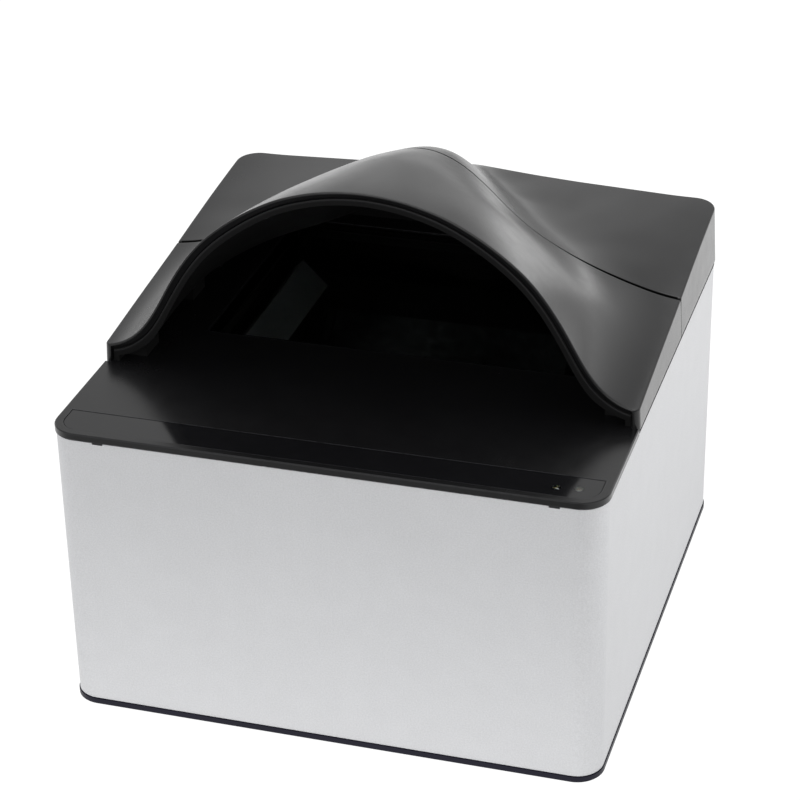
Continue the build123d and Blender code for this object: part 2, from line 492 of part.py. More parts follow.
# ---------------------------------------------------------------- lamps
def lamp_slope(s):
    """Sloping face of the chamber ledge on one side."""
    return Plane(origin=(s * 64.25, 36.0, 83.25), x_dir=(0, 1, 0), z_dir=(-s, 0, 1))


for side, s in (("left", -1), ("right", 1)):
    with BuildPart() as lamp_board:
        with BuildSketch(lamp_slope(s)):
            Rectangle(84, 14)
        extrude(amount=1.6)
    keep(lamp_board, "lamp_board_" + side)
    with BuildPart() as lamp_diffuser:
        with BuildSketch(lamp_slope(s).offset(1.6)):
            Rectangle(84, 14)
        extrude(amount=5.0)
        with BuildSketch(lamp_slope(s).offset(1.6)):
            Rectangle(81.6, 11.6)
        extrude(amount=3.4, mode=Mode.SUBTRACT)
    keep(lamp_diffuser, "lamp_diffuser_" + side)

with BuildPart() as white_leds:
    with BuildSketch(lamp_slope(-1).offset(1.6), lamp_slope(1).offset(1.6)):
        with GridLocations(10.0, 0, 8, 1):
            with Locations((0, 1.5)):
                Rectangle(3, 3)
    extrude(amount=1.2)
keep(white_leds, "white_leds")
with BuildPart() as uv_leds:
    with BuildSketch(lamp_slope(-1).offset(1.6), lamp_slope(1).offset(1.6)):
        with GridLocations(20.0, 0, 4, 1):
            with Locations((0, -3.2)):
                Rectangle(3.5, 3.5)
    extrude(amount=1.5)
keep(uv_leds, "uv_leds")

# ---------------------------------------------------------------- camera
with BuildPart() as camera_bracket:
    with Locations((0, -77.0, 6.0)):
        Box(40, 18, 1.5, align=(Align.CENTER, Align.CENTER, Align.MIN))
    with Locations((0, -68.75, 6.0)):
        Box(40, 1.5, 66, align=(Align.CENTER, Align.CENTER, Align.MIN))
    with Locations(*[(x, -67.0, z) for x in (-16.0, 16.0) for z in (33.0, 67.0)]):
        Cylinder(2.0, 2.0, rotation=(90, 0, 0))
    with Locations(*[(x, -67.9, z) for x in (-16.0, 16.0) for z in (33.0, 67.0)]):
        Cylinder(0.9, 3.8, rotation=(90, 0, 0), mode=Mode.SUBTRACT)
    with Locations(*[(x, y, 5.0) for x, y in BRACKET_FEET]):
        Cylinder(1.2, 4.0, align=(Align.CENTER, Align.CENTER, Align.MIN), mode=Mode.SUBTRACT)
keep(camera_bracket, "camera_bracket")

with BuildPart() as camera_board:
    with Locations((0, -65.2, LENS_Z)):
        Box(38, 1.6, 40)
    with Locations(*[(x, -65.2, z) for x in (-16.0, 16.0) for z in (33.0, 67.0)]):
        Cylinder(1.0, 3.0, rotation=(90, 0, 0), mode=Mode.SUBTRACT)
keep(camera_board, "camera_board")

with BuildPart() as camera_screws:
    with Locations(*[(x, -63.8, z) for x in (-16.0, 16.0) for z in (33.0, 67.0)]):
        Cylinder(1.9, 1.2, rotation=(90, 0, 0))
    with Locations(*[(x, -66.6, z) for x in (-16.0, 16.0) for z in (33.0, 67.0)]):
        Cylinder(0.85, 4.6, rotation=(90, 0, 0))
keep(camera_screws, "camera_screws")

with BuildPart() as image_sensor:
    with Locations((0, -63.8, LENS_Z)):
        Box(12, 1.2, 9)
keep(image_sensor, "image_sensor")

LENS = Plane(origin=(0, 0, LENS_Z), x_dir=(1, 0, 0), z_dir=(0, 1, 0))
with BuildPart() as lens_holder:
    with BuildSketch(LENS.offset(-64.4)):
        Rectangle(24, 24)
    extrude(amount=3.0)
    with BuildSketch(LENS.offset(-61.4)):
        Circle(9.0)
    extrude(amount=11.4)
    with BuildSketch(LENS.offset(-64.4)):
        Rectangle(14, 11)
    extrude(amount=3.0, mode=Mode.SUBTRACT)
    with BuildSketch(LENS.offset(-61.4)):
        Circle(7.05)
    extrude(amount=12, mode=Mode.SUBTRACT)
keep(lens_holder, "lens_holder")

with BuildPart() as lens_barrel:
    with BuildSketch(LENS.offset(-60.5)):
        Circle(7.0)
    extrude(amount=19.5)
    with BuildSketch(LENS.offset(-42.0)):
        Circle(9.5)
    extrude(amount=15.0)
    with BuildSketch(LENS.offset(-62)):
        Circle(5.0)
    extrude(amount=40, mode=Mode.SUBTRACT)
    with BuildSketch(LENS.offset(-31.0)):
        Circle(8.0)
    extrude(amount=6, mode=Mode.SUBTRACT)
keep(lens_barrel, "lens_barrel")

with BuildPart() as lens_lock_ring:
    with BuildSketch(LENS.offset(-50.0)):
        Circle(9.0)
        Circle(7.05, mode=Mode.SUBTRACT)
    extrude(amount=2.5)
keep(lens_lock_ring, "lens_lock_ring")

with BuildPart() as front_lens:
    with BuildSketch(LENS.offset(-31.0)):
        Circle(7.9)
    extrude(amount=3.0)
    with Locations((0, -28.0 - 16.6, LENS_Z)):
        Sphere(16.6, mode=Mode.INTERSECT)
keep(front_lens, "front_lens")

# ------------------------------------------------------------ main board
with BuildPart() as main_board:
    with BuildSketch(Plane.XY.offset(10.0)):
        with Locations((3.75, 51.0)):
            Rectangle(171.5, 54)
        with Locations((0, 84.0)):
            Rectangle(116, 16)
        with Locations(*BOARD_POSTS):
            Circle(1.6, mode=Mode.SUBTRACT)
    extrude(amount=1.6)
keep(main_board, "main_board")

with BuildPart() as board_standoffs:
    with BuildSketch(Plane.XY.offset(Z_FLANGE)):
        with Locations(*BOARD_POSTS):
            RegularPolygon(3.2, 6)
    extrude(amount=10.0 - Z_FLANGE)
    with Locations(*[(x, y, 4.6) for x, y in BOARD_POSTS]):
        Cylinder(1.45, 6.0, align=(Align.CENTER, Align.CENTER, Align.MIN), mode=Mode.SUBTRACT)
keep(board_standoffs, "board_standoffs")
board_screws = screws("board_screws", BOARD_POSTS, 2.6, 13.2, 11.6, 1.4, 11.6, 5.5)

with BuildPart() as processor:
    with Locations((-25, 50, 11.6)):
        Box(20, 20, 1.6, align=(Align.CENTER, Align.CENTER, Align.MIN))
keep(processor, "processor")
with BuildPart() as heat_sink:
    with Locations((-25, 50, 13.2)):
        Box(30, 26, 9.0, align=(Align.CENTER, Align.CENTER, Align.MIN))
    with Locations((-25, 50, 15.2)):
        with GridLocations(4.0, 0, 7, 1):
            Box(2.2, 40, 8.0, align=(Align.CENTER, Align.CENTER, Align.MIN), mode=Mode.SUBTRACT)
keep(heat_sink, "heat_sink")
with BuildPart() as memory_chips:
    with Locations((2, 44, 11.6), (2, 58, 11.6), (24, 51, 11.6)):
        Box(12, 9, 1.2, align=(Align.CENTER, Align.CENTER, Align.MIN))
keep(memory_chips, "memory_chips")
with BuildPart() as power_capacitors:
    with Locations((40, 62, 11.6), (52, 62, 11.6), (40, 50, 11.6)):
        Cylinder(4.0, 9.0, align=(Align.CENTER, Align.CENTER, Align.MIN))
keep(power_capacitors, "power_capacitors")
with BuildPart() as board_connectors:
    with Locations((75.4, 45, 11.6), (-75.4, 45, 11.6)):
        Box(4, 13, 3.6, align=(Align.CENTER, Align.CENTER, Align.MIN))
    with Locations((-77.4, 61, 11.6)):
        Box(4, 13, 3.6, align=(Align.CENTER, Align.CENTER, Align.MIN))
    with Locations((0, 28, 11.6)):
        Box(19, 4, 3.6, align=(Align.CENTER, Align.CENTER, Align.MIN))
    with Locations((85.4, 28, 11.6)):
        Box(7.6, 4, 3.6, align=(Align.CENTER, Align.CENTER, Align.MIN))
    with Locations((0, -62.9, 33.0)):
        Box(19, 3.0, 4.0)
keep(board_connectors, "board_connectors")

# flat ribbon cables


def ribbon(name, plane, route, radius, width):
    with BuildPart() as strip:
        with BuildSketch(plane):
            with BuildLine():
                FilletPolyline(*route, radius=radius)
            trace(line_width=0.4)
        extrude(amount=width)
    keep(strip, name)
    return strip


camera_ribbon = ribbon("camera_ribbon", Plane.YZ.offset(-8.0),
                       [(-62.9, 31.0), (-62.9, 5.4), (12.0, 5.4), (20.0, 13.3), (26.0, 13.3)], 1.6, 16.0)
indicator_ribbon = ribbon("indicator_ribbon", Plane.YZ.offset(83.0),
                          [(-89.0, 101.9), (-89.0, 5.4), (12.0, 5.4), (20.0, 13.3), (26.0, 13.3)], 1.6, 5.0)
with BuildPart() as lamp_ribbons:
    for s in (-1, 1):
        with BuildSketch(Plane.XZ.offset(-50.0)):
            with BuildLine():
                FilletPolyline((s * 61.6, 79.9), (s * 75.4, 79.9), (s * 75.4, 15.2), radius=1.2)
            trace(line_width=0.4)
        extrude(amount=10.0)
keep(lamp_ribbons, "lamp_ribbons")
with BuildPart() as antenna_ribbon:
    with Locations((-77.4, 61, 15.2)):
        Box(0.4, 10, Z_RIM - 1.6 - 15.2, align=(Align.CENTER, Align.CENTER, Align.MIN))
keep(antenna_ribbon, "antenna_ribbon")

# -------------------------------------------------------- indicator board
with BuildPart() as indicator_board:
    with BuildSketch(Plane.XY.offset(101.9)):
        with Locations((78.5, -86.8)):
            Rectangle(20, 12)
        with Locations((71.0, -84.0), (86.0, -83.6)):
            Circle(1.0, mode=Mode.SUBTRACT)
    extrude(amount=1.6)
keep(indicator_board, "indicator_board")
with BuildPart() as indicator_leds:
    with Locations((*POWER_LIGHT, 103.5), (*STATUS_LIGHT, 103.5)):
        Box(2.0, 1.6, 0.7, align=(Align.CENTER, Align.CENTER, Align.MIN))
keep(indicator_leds, "indicator_leds")
indicator_screws = screws("indicator_screws", [(71.0, -84.0), (86.0, -83.6)], 1.7, 100.7, 101.9, 0.75, 101.9, 107.0)

# ------------------------------------------------------------- rear ports
USB_X, DC_X, LOCK_X, PORT_Z = -32.0, -8.0, 14.0, 17.1
PANEL_Y0, PANEL_Y1 = 93.3, 95.3
with BuildPart() as port_panel:
    with Locations((0, (PANEL_Y0 + PANEL_Y1) / 2, 27.0)):
        Box(118, PANEL_Y1 - PANEL_Y0, 36)
    with Locations(*[(x, 91.8, z) for x in (-54.8, 54.8) for z in (15.0, 38.0)]):
        Cylinder(2.8, 3.0, rotation=(90, 0, 0))
    with Locations(*[(x, 92.8, z) for x in (-54.8, 54.8) for z in (15.0, 38.0)]):
        Cylinder(1.1, 6.0, rotation=(90, 0, 0), mode=Mode.SUBTRACT)
    with Locations((USB_X, 94.3, PORT_Z)):
        Box(12.4, 4, 11.4, mode=Mode.SUBTRACT)
    with Locations((DC_X, 94.3, PORT_Z)):
        Box(9.4, 4, 11.4, mode=Mode.SUBTRACT)
    with Locations((LOCK_X, 94.3, 22.0)):
        Box(8.4, 4, 4.4, mode=Mode.SUBTRACT)
    with Locations((ROCKER_X, 94.3, ROCKER_Z)):
        Box(13.2, 4, 19.8, mode=Mode.SUBTRACT)
keep(port_panel, "port_panel")
with BuildPart() as panel_screws:
    with Locations(*[(x, SD / 2 - 0.55, z) for x in (-54.8, 54.8) for z in (15.0, 38.0)]):
        Cylinder(2.4, 1.1, rotation=(90, 0, 0))
    with Locations(*[(x, 93.4, z) for x in (-54.8, 54.8) for z in (15.0, 38.0)]):
        Cylinder(1.05, 5.8, rotation=(90, 0, 0))
    with BuildSketch(Plane.XZ.offset(-SD / 2)):
        with Locations(*[(x, z) for x in (-54.8, 54.8) for z in (15.0, 38.0)]):
            RegularPolygon(1.2, 6)
    extrude(amount=0.7, mode=Mode.SUBTRACT)
keep(panel_screws, "panel_screws")

with BuildPart() as usb_socket:
    with Locations((USB_X, 87.3, 11.6)):
        Box(12.0, 16.0, 11.0, align=(Align.CENTER, Align.CENTER, Align.MIN))
    with BuildSketch(Plane.XZ.offset(-95.3)):
        with BuildLine():
            Polyline((USB_X - 4.25, 13.2), (USB_X + 4.25, 13.2), (USB_X + 4.25, 19.4),
                     (USB_X + 2.65, 21.0), (USB_X - 2.65, 21.0), (USB_X - 4.25, 19.4), close=True)
        make_face()
    extrude(amount=11.0, mode=Mode.SUBTRACT)
    with Locations((USB_X, 84.0, 17.1)):
        Box(5.6, 20.0, 3.2)
    with Locations((USB_X, 87.3, 11.6)):
        Box(12.0, 16.0, 11.0, align=(Align.CENTER, Align.CENTER, Align.MIN), mode=Mode.INTERSECT)
keep(usb_socket, "usb_socket")
with BuildPart() as dc_socket:
    with Locations((DC_X, 88.3, 11.6)):
        Box(9.0, 14.0, 11.0, align=(Align.CENTER, Align.CENTER, Align.MIN))
    with Locations((DC_X, 90.3, PORT_Z)):
        Cylinder(3.1, 10.0, rotation=(90, 0, 0), mode=Mode.SUBTRACT)
    with Locations((DC_X, 89.3, PORT_Z)):
        Cylinder(1.0, 10.0, rotation=(90, 0, 0))
keep(dc_socket, "dc_socket")
with BuildPart() as lock_slot_plate:
    with Locations((LOCK_X, 92.3, 22.0)):
        Box(22, 2.0, 16)
        Box(7.0, 3.0, 3.0, mode=Mode.SUBTRACT)
keep(lock_slot_plate, "lock_slot_plate")

with BuildPart() as switch_housing:
    with Locations((ROCKER_X, 96.05, ROCKER_Z)):
        Box(15.0, 1.5, 21.4)
    with Locations((ROCKER_X, 88.3, ROCKER_Z)):
        Box(12.8, 14.0, 19.4)
    with Locations((ROCKER_X, 92.0, ROCKER_Z)):
        Box(10.6, 12.0, 17.6, mode=Mode.SUBTRACT)
    with Locations((ROCKER_X, ROCKER_Y, ROCKER_Z)):
        Cylinder(1.05, 12.2, rotation=(0, 90, 0), mode=Mode.SUBTRACT)
keep(switch_housing, "switch_housing")
with BuildPart() as switch_terminals:
    with Locations((ROCKER_X, 78.3, ROCKER_Z - 5), (ROCKER_X, 78.3, ROCKER_Z + 5)):
        Box(4.8, 6.0, 0.8)
keep(switch_terminals, "switch_terminals")

# rocker, shown switched off: its lower end is pressed in
with BuildPart() as power_rocker:
    with BuildSketch(Plane.YZ.offset(ROCKER_X - 5.0)):
        with Locations(Location((ROCKER_Y, ROCKER_Z), -ROCKER_TILT)):
            Polygon((3.3, 0), (4.3, 7.8), (-2.0, 7.8), (-4.0, 5.0), (-4.0, -5.0), (-2.0, -7.8), (4.3, -7.8), align=None)
    extrude(amount=10.0)
    with Locations((ROCKER_X, ROCKER_Y, ROCKER_Z)):
        Cylinder(1.0, 12.0, rotation=(0, 90, 0))
keep(power_rocker, "power_rocker")
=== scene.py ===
"""Looks of a desktop passport reader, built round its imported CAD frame. Metres, +Z up, +Y to the rear."""

import json
import math

import bpy
import numpy as np
from mathutils import Matrix, Vector


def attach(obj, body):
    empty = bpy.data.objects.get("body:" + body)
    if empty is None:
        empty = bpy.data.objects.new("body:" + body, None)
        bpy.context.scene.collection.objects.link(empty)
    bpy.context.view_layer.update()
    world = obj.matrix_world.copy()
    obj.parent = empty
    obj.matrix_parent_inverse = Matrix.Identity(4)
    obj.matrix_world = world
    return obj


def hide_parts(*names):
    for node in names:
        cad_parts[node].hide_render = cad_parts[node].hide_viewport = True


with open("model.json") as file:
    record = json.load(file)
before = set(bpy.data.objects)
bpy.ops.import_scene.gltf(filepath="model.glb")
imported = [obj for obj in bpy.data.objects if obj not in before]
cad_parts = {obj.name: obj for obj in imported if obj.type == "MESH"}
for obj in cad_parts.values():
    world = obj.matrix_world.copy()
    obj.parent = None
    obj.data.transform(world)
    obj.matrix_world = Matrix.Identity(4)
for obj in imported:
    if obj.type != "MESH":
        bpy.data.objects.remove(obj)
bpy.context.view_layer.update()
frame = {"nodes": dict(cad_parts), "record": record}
NODES = frame["nodes"]
MM = 0.001

# ------------------------------------------------------------------ hood shape
# Same sizes as the CAD: heights of the hood's top surface in mm, rows from the lip
# to the rear, columns from the middle out to the side every 5 mm.
HOOD_Y = [-46.24, -39.74, -33.24, -26.74, -20.24, -13.74, -7.24, -0.74, 5.76, 12.26, 18.76, 25.26, 31.76, 38.26, 44.76, 51.26, 57.76, 64.26, 70.76, 77.26, 83.76, 90.26, 96.76]
HOOD_X = [5.0 * i for i in range(21)]
HOOD_Z = [
    [183.73, 183.55, 183.06, 182.26, 181.09, 179.59, 177.69, 175.27, 172.47, 169.23, 165.55, 161.29, 156.01, 149.31, 141.11, 131.98, 124.60, 119.82, 117.16, 116.01, 115.46],
    [183.58, 183.37, 182.77, 181.80, 180.49, 178.89, 176.89, 174.33, 171.34, 167.87, 163.99, 159.56, 154.26, 147.80, 140.14, 131.80, 125.04, 120.50, 117.86, 116.71, 116.17],
    [183.20, 182.95, 182.23, 181.10, 179.64, 177.90, 175.76, 173.06, 169.89, 166.26, 162.23, 157.70, 152.44, 146.26, 139.15, 131.58, 125.43, 121.13, 118.55, 117.39, 116.86],
    [182.64, 182.34, 181.49, 180.20, 178.57, 176.66, 174.34, 171.49, 168.16, 164.41, 160.29, 155.73, 150.57, 144.69, 138.14, 131.32, 125.77, 121.73, 119.22, 118.08, 117.56],
    [181.95, 181.59, 180.60, 179.15, 177.33, 175.21, 172.70, 169.67, 166.20, 162.34, 158.18, 153.64, 148.63, 143.10, 137.11, 131.03, 126.04, 122.28, 119.88, 118.76, 118.26],
    [181.15, 180.73, 179.61, 177.97, 175.95, 173.61, 170.87, 167.66, 164.03, 160.09, 155.91, 151.43, 146.62, 141.47, 136.06, 130.71, 126.21, 122.77, 120.52, 119.43, 118.94],
    [180.12, 179.66, 178.42, 176.61, 174.37, 171.76, 168.74, 165.29, 161.51, 157.52, 153.38, 149.01, 144.45, 139.71, 134.89, 130.28, 126.29, 123.18, 121.12, 120.09, 119.62],
    [178.63, 178.16, 176.86, 174.92, 172.43, 169.49, 166.08, 162.32, 158.41, 154.45, 150.45, 146.29, 142.03, 137.74, 133.52, 129.67, 126.27, 123.52, 121.67, 120.72, 120.27],
    [176.77, 176.30, 174.98, 172.92, 170.18, 166.85, 163.00, 158.91, 154.89, 151.05, 147.27, 143.40, 139.54, 135.73, 132.11, 129.00, 126.22, 123.83, 122.22, 121.35, 120.93],
    [174.68, 174.22, 172.86, 170.67, 167.65, 163.91, 159.63, 155.26, 151.19, 147.52, 144.03, 140.54, 137.13, 133.86, 130.85, 128.38, 126.17, 124.15, 122.77, 121.99, 121.59],
    [172.51, 172.04, 170.60, 168.22, 164.89, 160.76, 156.14, 151.59, 147.55, 144.08, 140.92, 137.87, 135.00, 132.33, 129.93, 127.94, 126.17, 124.52, 123.36, 122.66, 122.27],
    [170.36, 169.85, 168.24, 165.57, 161.87, 157.41, 152.62, 148.08, 144.15, 140.89, 138.08, 135.55, 133.30, 131.27, 129.49, 127.83, 126.33, 125.02, 124.03, 123.37, 122.99],
    [168.14, 167.53, 165.59, 162.47, 158.31, 153.59, 148.90, 144.64, 140.97, 137.95, 135.48, 133.56, 131.98, 130.59, 129.35, 128.09, 126.87, 125.73, 124.79, 124.13, 123.76],
    [165.60, 164.86, 162.56, 158.97, 154.42, 149.61, 145.19, 141.34, 138.06, 135.48, 133.54, 132.17, 131.13, 130.22, 129.35, 128.41, 127.45, 126.43, 125.53, 124.90, 124.52],
    [162.59, 161.72, 159.10, 155.14, 150.41, 145.75, 141.69, 138.27, 135.54, 133.58, 132.27, 131.34, 130.65, 130.05, 129.38, 128.62, 127.83, 126.97, 126.18, 125.61, 125.24],
    [159.21, 158.18, 155.27, 151.06, 146.33, 142.07, 138.62, 135.84, 133.80, 132.47, 131.61, 131.00, 130.53, 130.06, 129.50, 128.87, 128.21, 127.49, 126.82, 126.32, 125.98],
    [155.50, 154.28, 151.12, 146.81, 142.34, 138.72, 136.06, 134.08, 132.74, 131.91, 131.31, 130.91, 130.57, 130.21, 129.73, 129.19, 128.64, 128.02, 127.46, 127.03, 126.74],
    [151.65, 150.24, 146.80, 142.62, 138.83, 136.07, 134.25, 132.98, 132.15, 131.60, 131.21, 130.92, 130.63, 130.31, 129.89, 129.44, 128.97, 128.45, 127.99, 127.67, 127.44],
    [147.77, 146.17, 142.58, 138.86, 136.05, 134.22, 133.13, 132.39, 131.87, 131.46, 131.20, 130.97, 130.69, 130.38, 130.00, 129.64, 129.25, 128.82, 128.47, 128.26, 128.09],
    [143.85, 142.19, 138.92, 136.14, 134.40, 133.37, 132.71, 132.20, 131.81, 131.44, 131.20, 131.00, 130.75, 130.45, 130.10, 129.82, 129.51, 129.19, 128.95, 128.83, 128.70],
    [140.11, 138.65, 136.14, 134.44, 133.52, 132.99, 132.56, 132.15, 131.81, 131.45, 131.21, 131.02, 130.80, 130.52, 130.22, 129.98, 129.77, 129.55, 129.41, 129.37, 129.30],
    [136.92, 136.01, 134.60, 133.72, 133.17, 132.78, 132.44, 132.10, 131.79, 131.48, 131.26, 131.06, 130.86, 130.62, 130.36, 130.16, 130.01, 129.89, 129.84, 129.86, 129.86],
    [134.38, 134.19, 133.85, 133.45, 133.04, 132.65, 132.34, 132.03, 131.74, 131.52, 131.32, 131.12, 130.92, 130.72, 130.52, 130.32, 130.20, 130.18, 130.19, 130.27, 130.36],
]


def keep(piece, label):
    """Name a finished piece and write its STEP file."""
    piece.part.label = label
    export_step(piece.part, "parts/" + label + ".step")
    print(label, len(piece.part.solids()), round(piece.part.volume, 1))


# ------------------------------------------------------------ hood surfaces

WIDTH, DEPTH, CORNER_R = 190.0, 195.56, 9.7
Z_FOOT, LEAN = 108.5, 0.05         # lower edge of the hood walls, and their lean per mm of height
Y_LIP, Y_SEAM, SEAM_GAP = -46.24, 24.46, 1.1
SHELL, FRONT_R = 2.5, 2.2
EDGE_R, SEAM_R, UNDERCUT = 0.5, 0.28, 1.3


def second_derivatives(knots):
    """Matrix that gives a cubic spline's second derivatives from its values (not-a-knot ends)."""
    n, h = len(knots), np.diff(knots)
    a, b = np.zeros((n, n)), np.zeros((n, n))
    for i in range(1, n - 1):
        a[i, i - 1], a[i, i], a[i, i + 1] = h[i - 1], 2 * (h[i - 1] + h[i]), h[i]
        b[i, i - 1], b[i, i + 1] = 6 / h[i - 1], 6 / h[i]
        b[i, i] = -6 / h[i - 1] - 6 / h[i]
    a[0, :3] = h[1], -(h[0] + h[1]), h[0]
    a[-1, -3:] = h[-1], -(h[-1] + h[-2]), h[-2]
    return np.linalg.solve(a, b)


class Skin:
    """The hood's top surface as one smooth height field."""

    def __init__(self):
        self.x = np.array([-x for x in HOOD_X[:0:-1]] + HOOD_X, float)
        self.y = np.array(HOOD_Y, float)
        self.t = np.array([r[:0:-1] + r for r in HOOD_Z], float)
        self.mx, self.my = second_derivatives(self.x), second_derivatives(self.y)

    @staticmethod
    def basis(k, m, q):
        q = np.clip(q, k[0], k[-1])
        i = np.clip(np.searchsorted(k, q) - 1, 0, len(k) - 2)
        h = (k[i + 1] - k[i])[:, None]
        s = ((q - k[i]) / h[:, 0])[:, None]
        r = np.arange(len(q))
        v = ((1 - s) ** 3 - (1 - s)) * h * h / 6 * m[i] + (s**3 - s) * h * h / 6 * m[i + 1]
        d = -(3 * (1 - s) ** 2 - 1) * h / 6 * m[i] + (3 * s * s - 1) * h / 6 * m[i + 1]
        v[r, i] += 1 - s[:, 0]
        v[r, i + 1] += s[:, 0]
        d[r, i] -= 1 / h[:, 0]
        d[r, i + 1] += 1 / h[:, 0]
        return v, d

    def at(self, x, y, drop=0.0):
        """Height, and slopes along x and y, of the surface that lies drop mm below the top one."""
        x, y = np.asarray(x, float), np.asarray(y, float)
        shape = np.broadcast(x, y).shape
        xf, yf = np.broadcast_to(x, shape).ravel(), np.broadcast_to(y, shape).ravel()
        vx, dx = self.basis(self.x, self.mx, xf)
        vy, dy = self.basis(self.y, self.my, yf)
        row = vy @ self.t
        z, zx, zy = (row * vx).sum(1), (row * dx).sum(1), ((dy @ self.t) * vx).sum(1)
        z = z - np.broadcast_to(drop, shape).ravel() * np.sqrt(1 + zx * zx + zy * zy)
        return z.reshape(shape), zx.reshape(shape), zy.reshape(shape)


SKIN = Skin()


def rim(px, py, nx, ny, inset, drop, r, arc=5):
    """Points from the top surface over a rounded edge and down a leaning wall to its foot.

    px, py: outline at foot height; nx, ny: its outward direction. Gives (levels, points, 3),
    where level 0 is where the edge starts on the top surface."""
    z = np.full_like(px, 125.0)
    for _ in range(25):
        back = inset + LEAN * (z - Z_FOOT)
        x, y = px - back * nx, py - back * ny
        z, zx, zy = SKIN.at(x, y, drop)
    back = inset + LEAN * (z - Z_FOOT)
    slope = zx * nx + zy * ny
    t = np.stack([-slope, np.ones_like(slope)], 1) / np.sqrt(1 + slope * slope)[:, None]
    w = np.array([1.0, LEAN]) / math.hypot(1, LEAN)
    dot = t @ w
    c = np.stack([-back, z], 1) - r * (t + w) / (1 + dot)[:, None]
    ang = np.arccos(np.clip(dot, -1, 1))
    out = []

    def put(n, h):
        out.append(np.stack([px + n * nx, py + n * ny, h], 1))

    for k in range(arc + 1):
        f = k / arc
        v = (np.sin((1 - f) * ang)[:, None] * t + np.sin(f * ang)[:, None] * w) / np.sin(ang)[:, None]
        put(c[:, 0] + r * v[:, 0], c[:, 1] + r * v[:, 1])
    top = out[-1][:, 2]
    foot = np.full_like(px, Z_FOOT)
    for f in (0.04, 0.3, 0.6, 0.9):
        h = top + (foot + 0.3 - top) * f
        put(-inset - LEAN * (h - Z_FOOT), h)
    sgn = 1.0 if r == EDGE_R else 0.0
    for dn, dz in ((0.0, 0.3), (0.06 * sgn, 0.08), (0.28 * sgn, 0.0)):
        put(-inset - LEAN * dz - dn, foot + dz)
    return np.array(out)


def spread(a, b, step):
    return np.linspace(a, b, max(2, int(round((b - a) / step)) + 1))


def rounding(r, n):
    """(distance along, set-back) pairs of a quarter round of radius r."""
    return [(r * (1 - math.cos(p)), r * (1 - math.sin(p))) for p in np.linspace(0, math.pi / 2, n)]


def set_back(d, r):
    d = np.minimum(d, r)
    return r - np.sqrt(np.maximum(r * r - (r - d) ** 2, 0))


def rows_top(y, left, right, tau, drop, bend=None):
    """Grid rows across the top between the rim's start points on the left and right."""
    x = left[:, None, 0] + (right - left)[:, None, 0] * tau[None, :]
    yy = np.broadcast_to(y[:, None], x.shape).copy()
    if bend is not None:
        yy += bend
    z, _, _ = SKIN.at(x, yy, np.broadcast_to(drop[:, None], x.shape))
    g = np.stack([x, yy, z], 2)
    g[:, 0], g[:, -1] = left, right
    return g


def across(half, step):
    """Places from -1 to 1 across the hood, with two close ones at each end."""
    mid = np.linspace(-(half - 1.7), half - 1.7, int(round(2 * half / step)))
    return np.concatenate([[-half, -half + 0.35, -half + 0.95], mid, [half - 0.95, half - 0.35, half]]) / half


class Builder:
    def __init__(self):
        self.v, self.f, self.n = [], [], 0

    def grid(self, pts):
        """Adds a grid of points and gives their numbers."""
        pts = np.asarray(pts)
        ids = np.arange(self.n, self.n + pts.shape[0] * pts.shape[1]).reshape(pts.shape[:2])
        self.v.append(pts.reshape(-1, 3))
        self.n += ids.size
        return ids

    def quads(self, ids, flip=False):
        a, b, c, d = ids[:-1, :-1].ravel(), ids[1:, :-1].ravel(), ids[1:, 1:].ravel(), ids[:-1, 1:].ravel()
        q = np.stack([a, b, c, d] if not flip else [a, d, c, b], 1)
        self.f += q.tolist()

    def close_sides(self, y_end, step):
        """Draws the joint's edge on the upright side walls towards the other shell, below the rim."""
        v = np.concatenate(self.v)
        z, _, _ = SKIN.at(v[:, 0], v[:, 1])
        k = np.clip(1 - np.abs(v[:, 1] - y_end) / 4, 0, 1) * np.clip((z - v[:, 2] - 0.5) / 0.8, 0, 1) * (np.abs(v[:, 0]) > 92.0)
        v[:, 1] += k * step
        self.v = [v]

    def mesh(self, name, material, angle=math.radians(28)):
        v = np.concatenate(self.v) * MM
        me = bpy.data.meshes.new(name)
        me.from_pydata(v.tolist(), [], [tuple(f) for f in self.f])
        me.validate()
        o = bpy.data.objects.new(name, me)
        bpy.context.scene.collection.objects.link(o)
        import bmesh

        bm = bmesh.new()
        bm.from_mesh(me)
        bmesh.ops.remove_doubles(bm, verts=bm.verts, dist=1e-7)
        bmesh.ops.dissolve_degenerate(bm, edges=bm.edges, dist=1e-7)
        bmesh.ops.recalc_face_normals(bm, faces=bm.faces)
        for f in bm.faces:
            f.smooth = True
        for e in bm.edges:
            e.smooth = len(e.link_faces) == 2 and e.calc_face_angle(0) < angle
        bm.to_mesh(me)
        bm.free()
        me.materials.append(material)
        return o


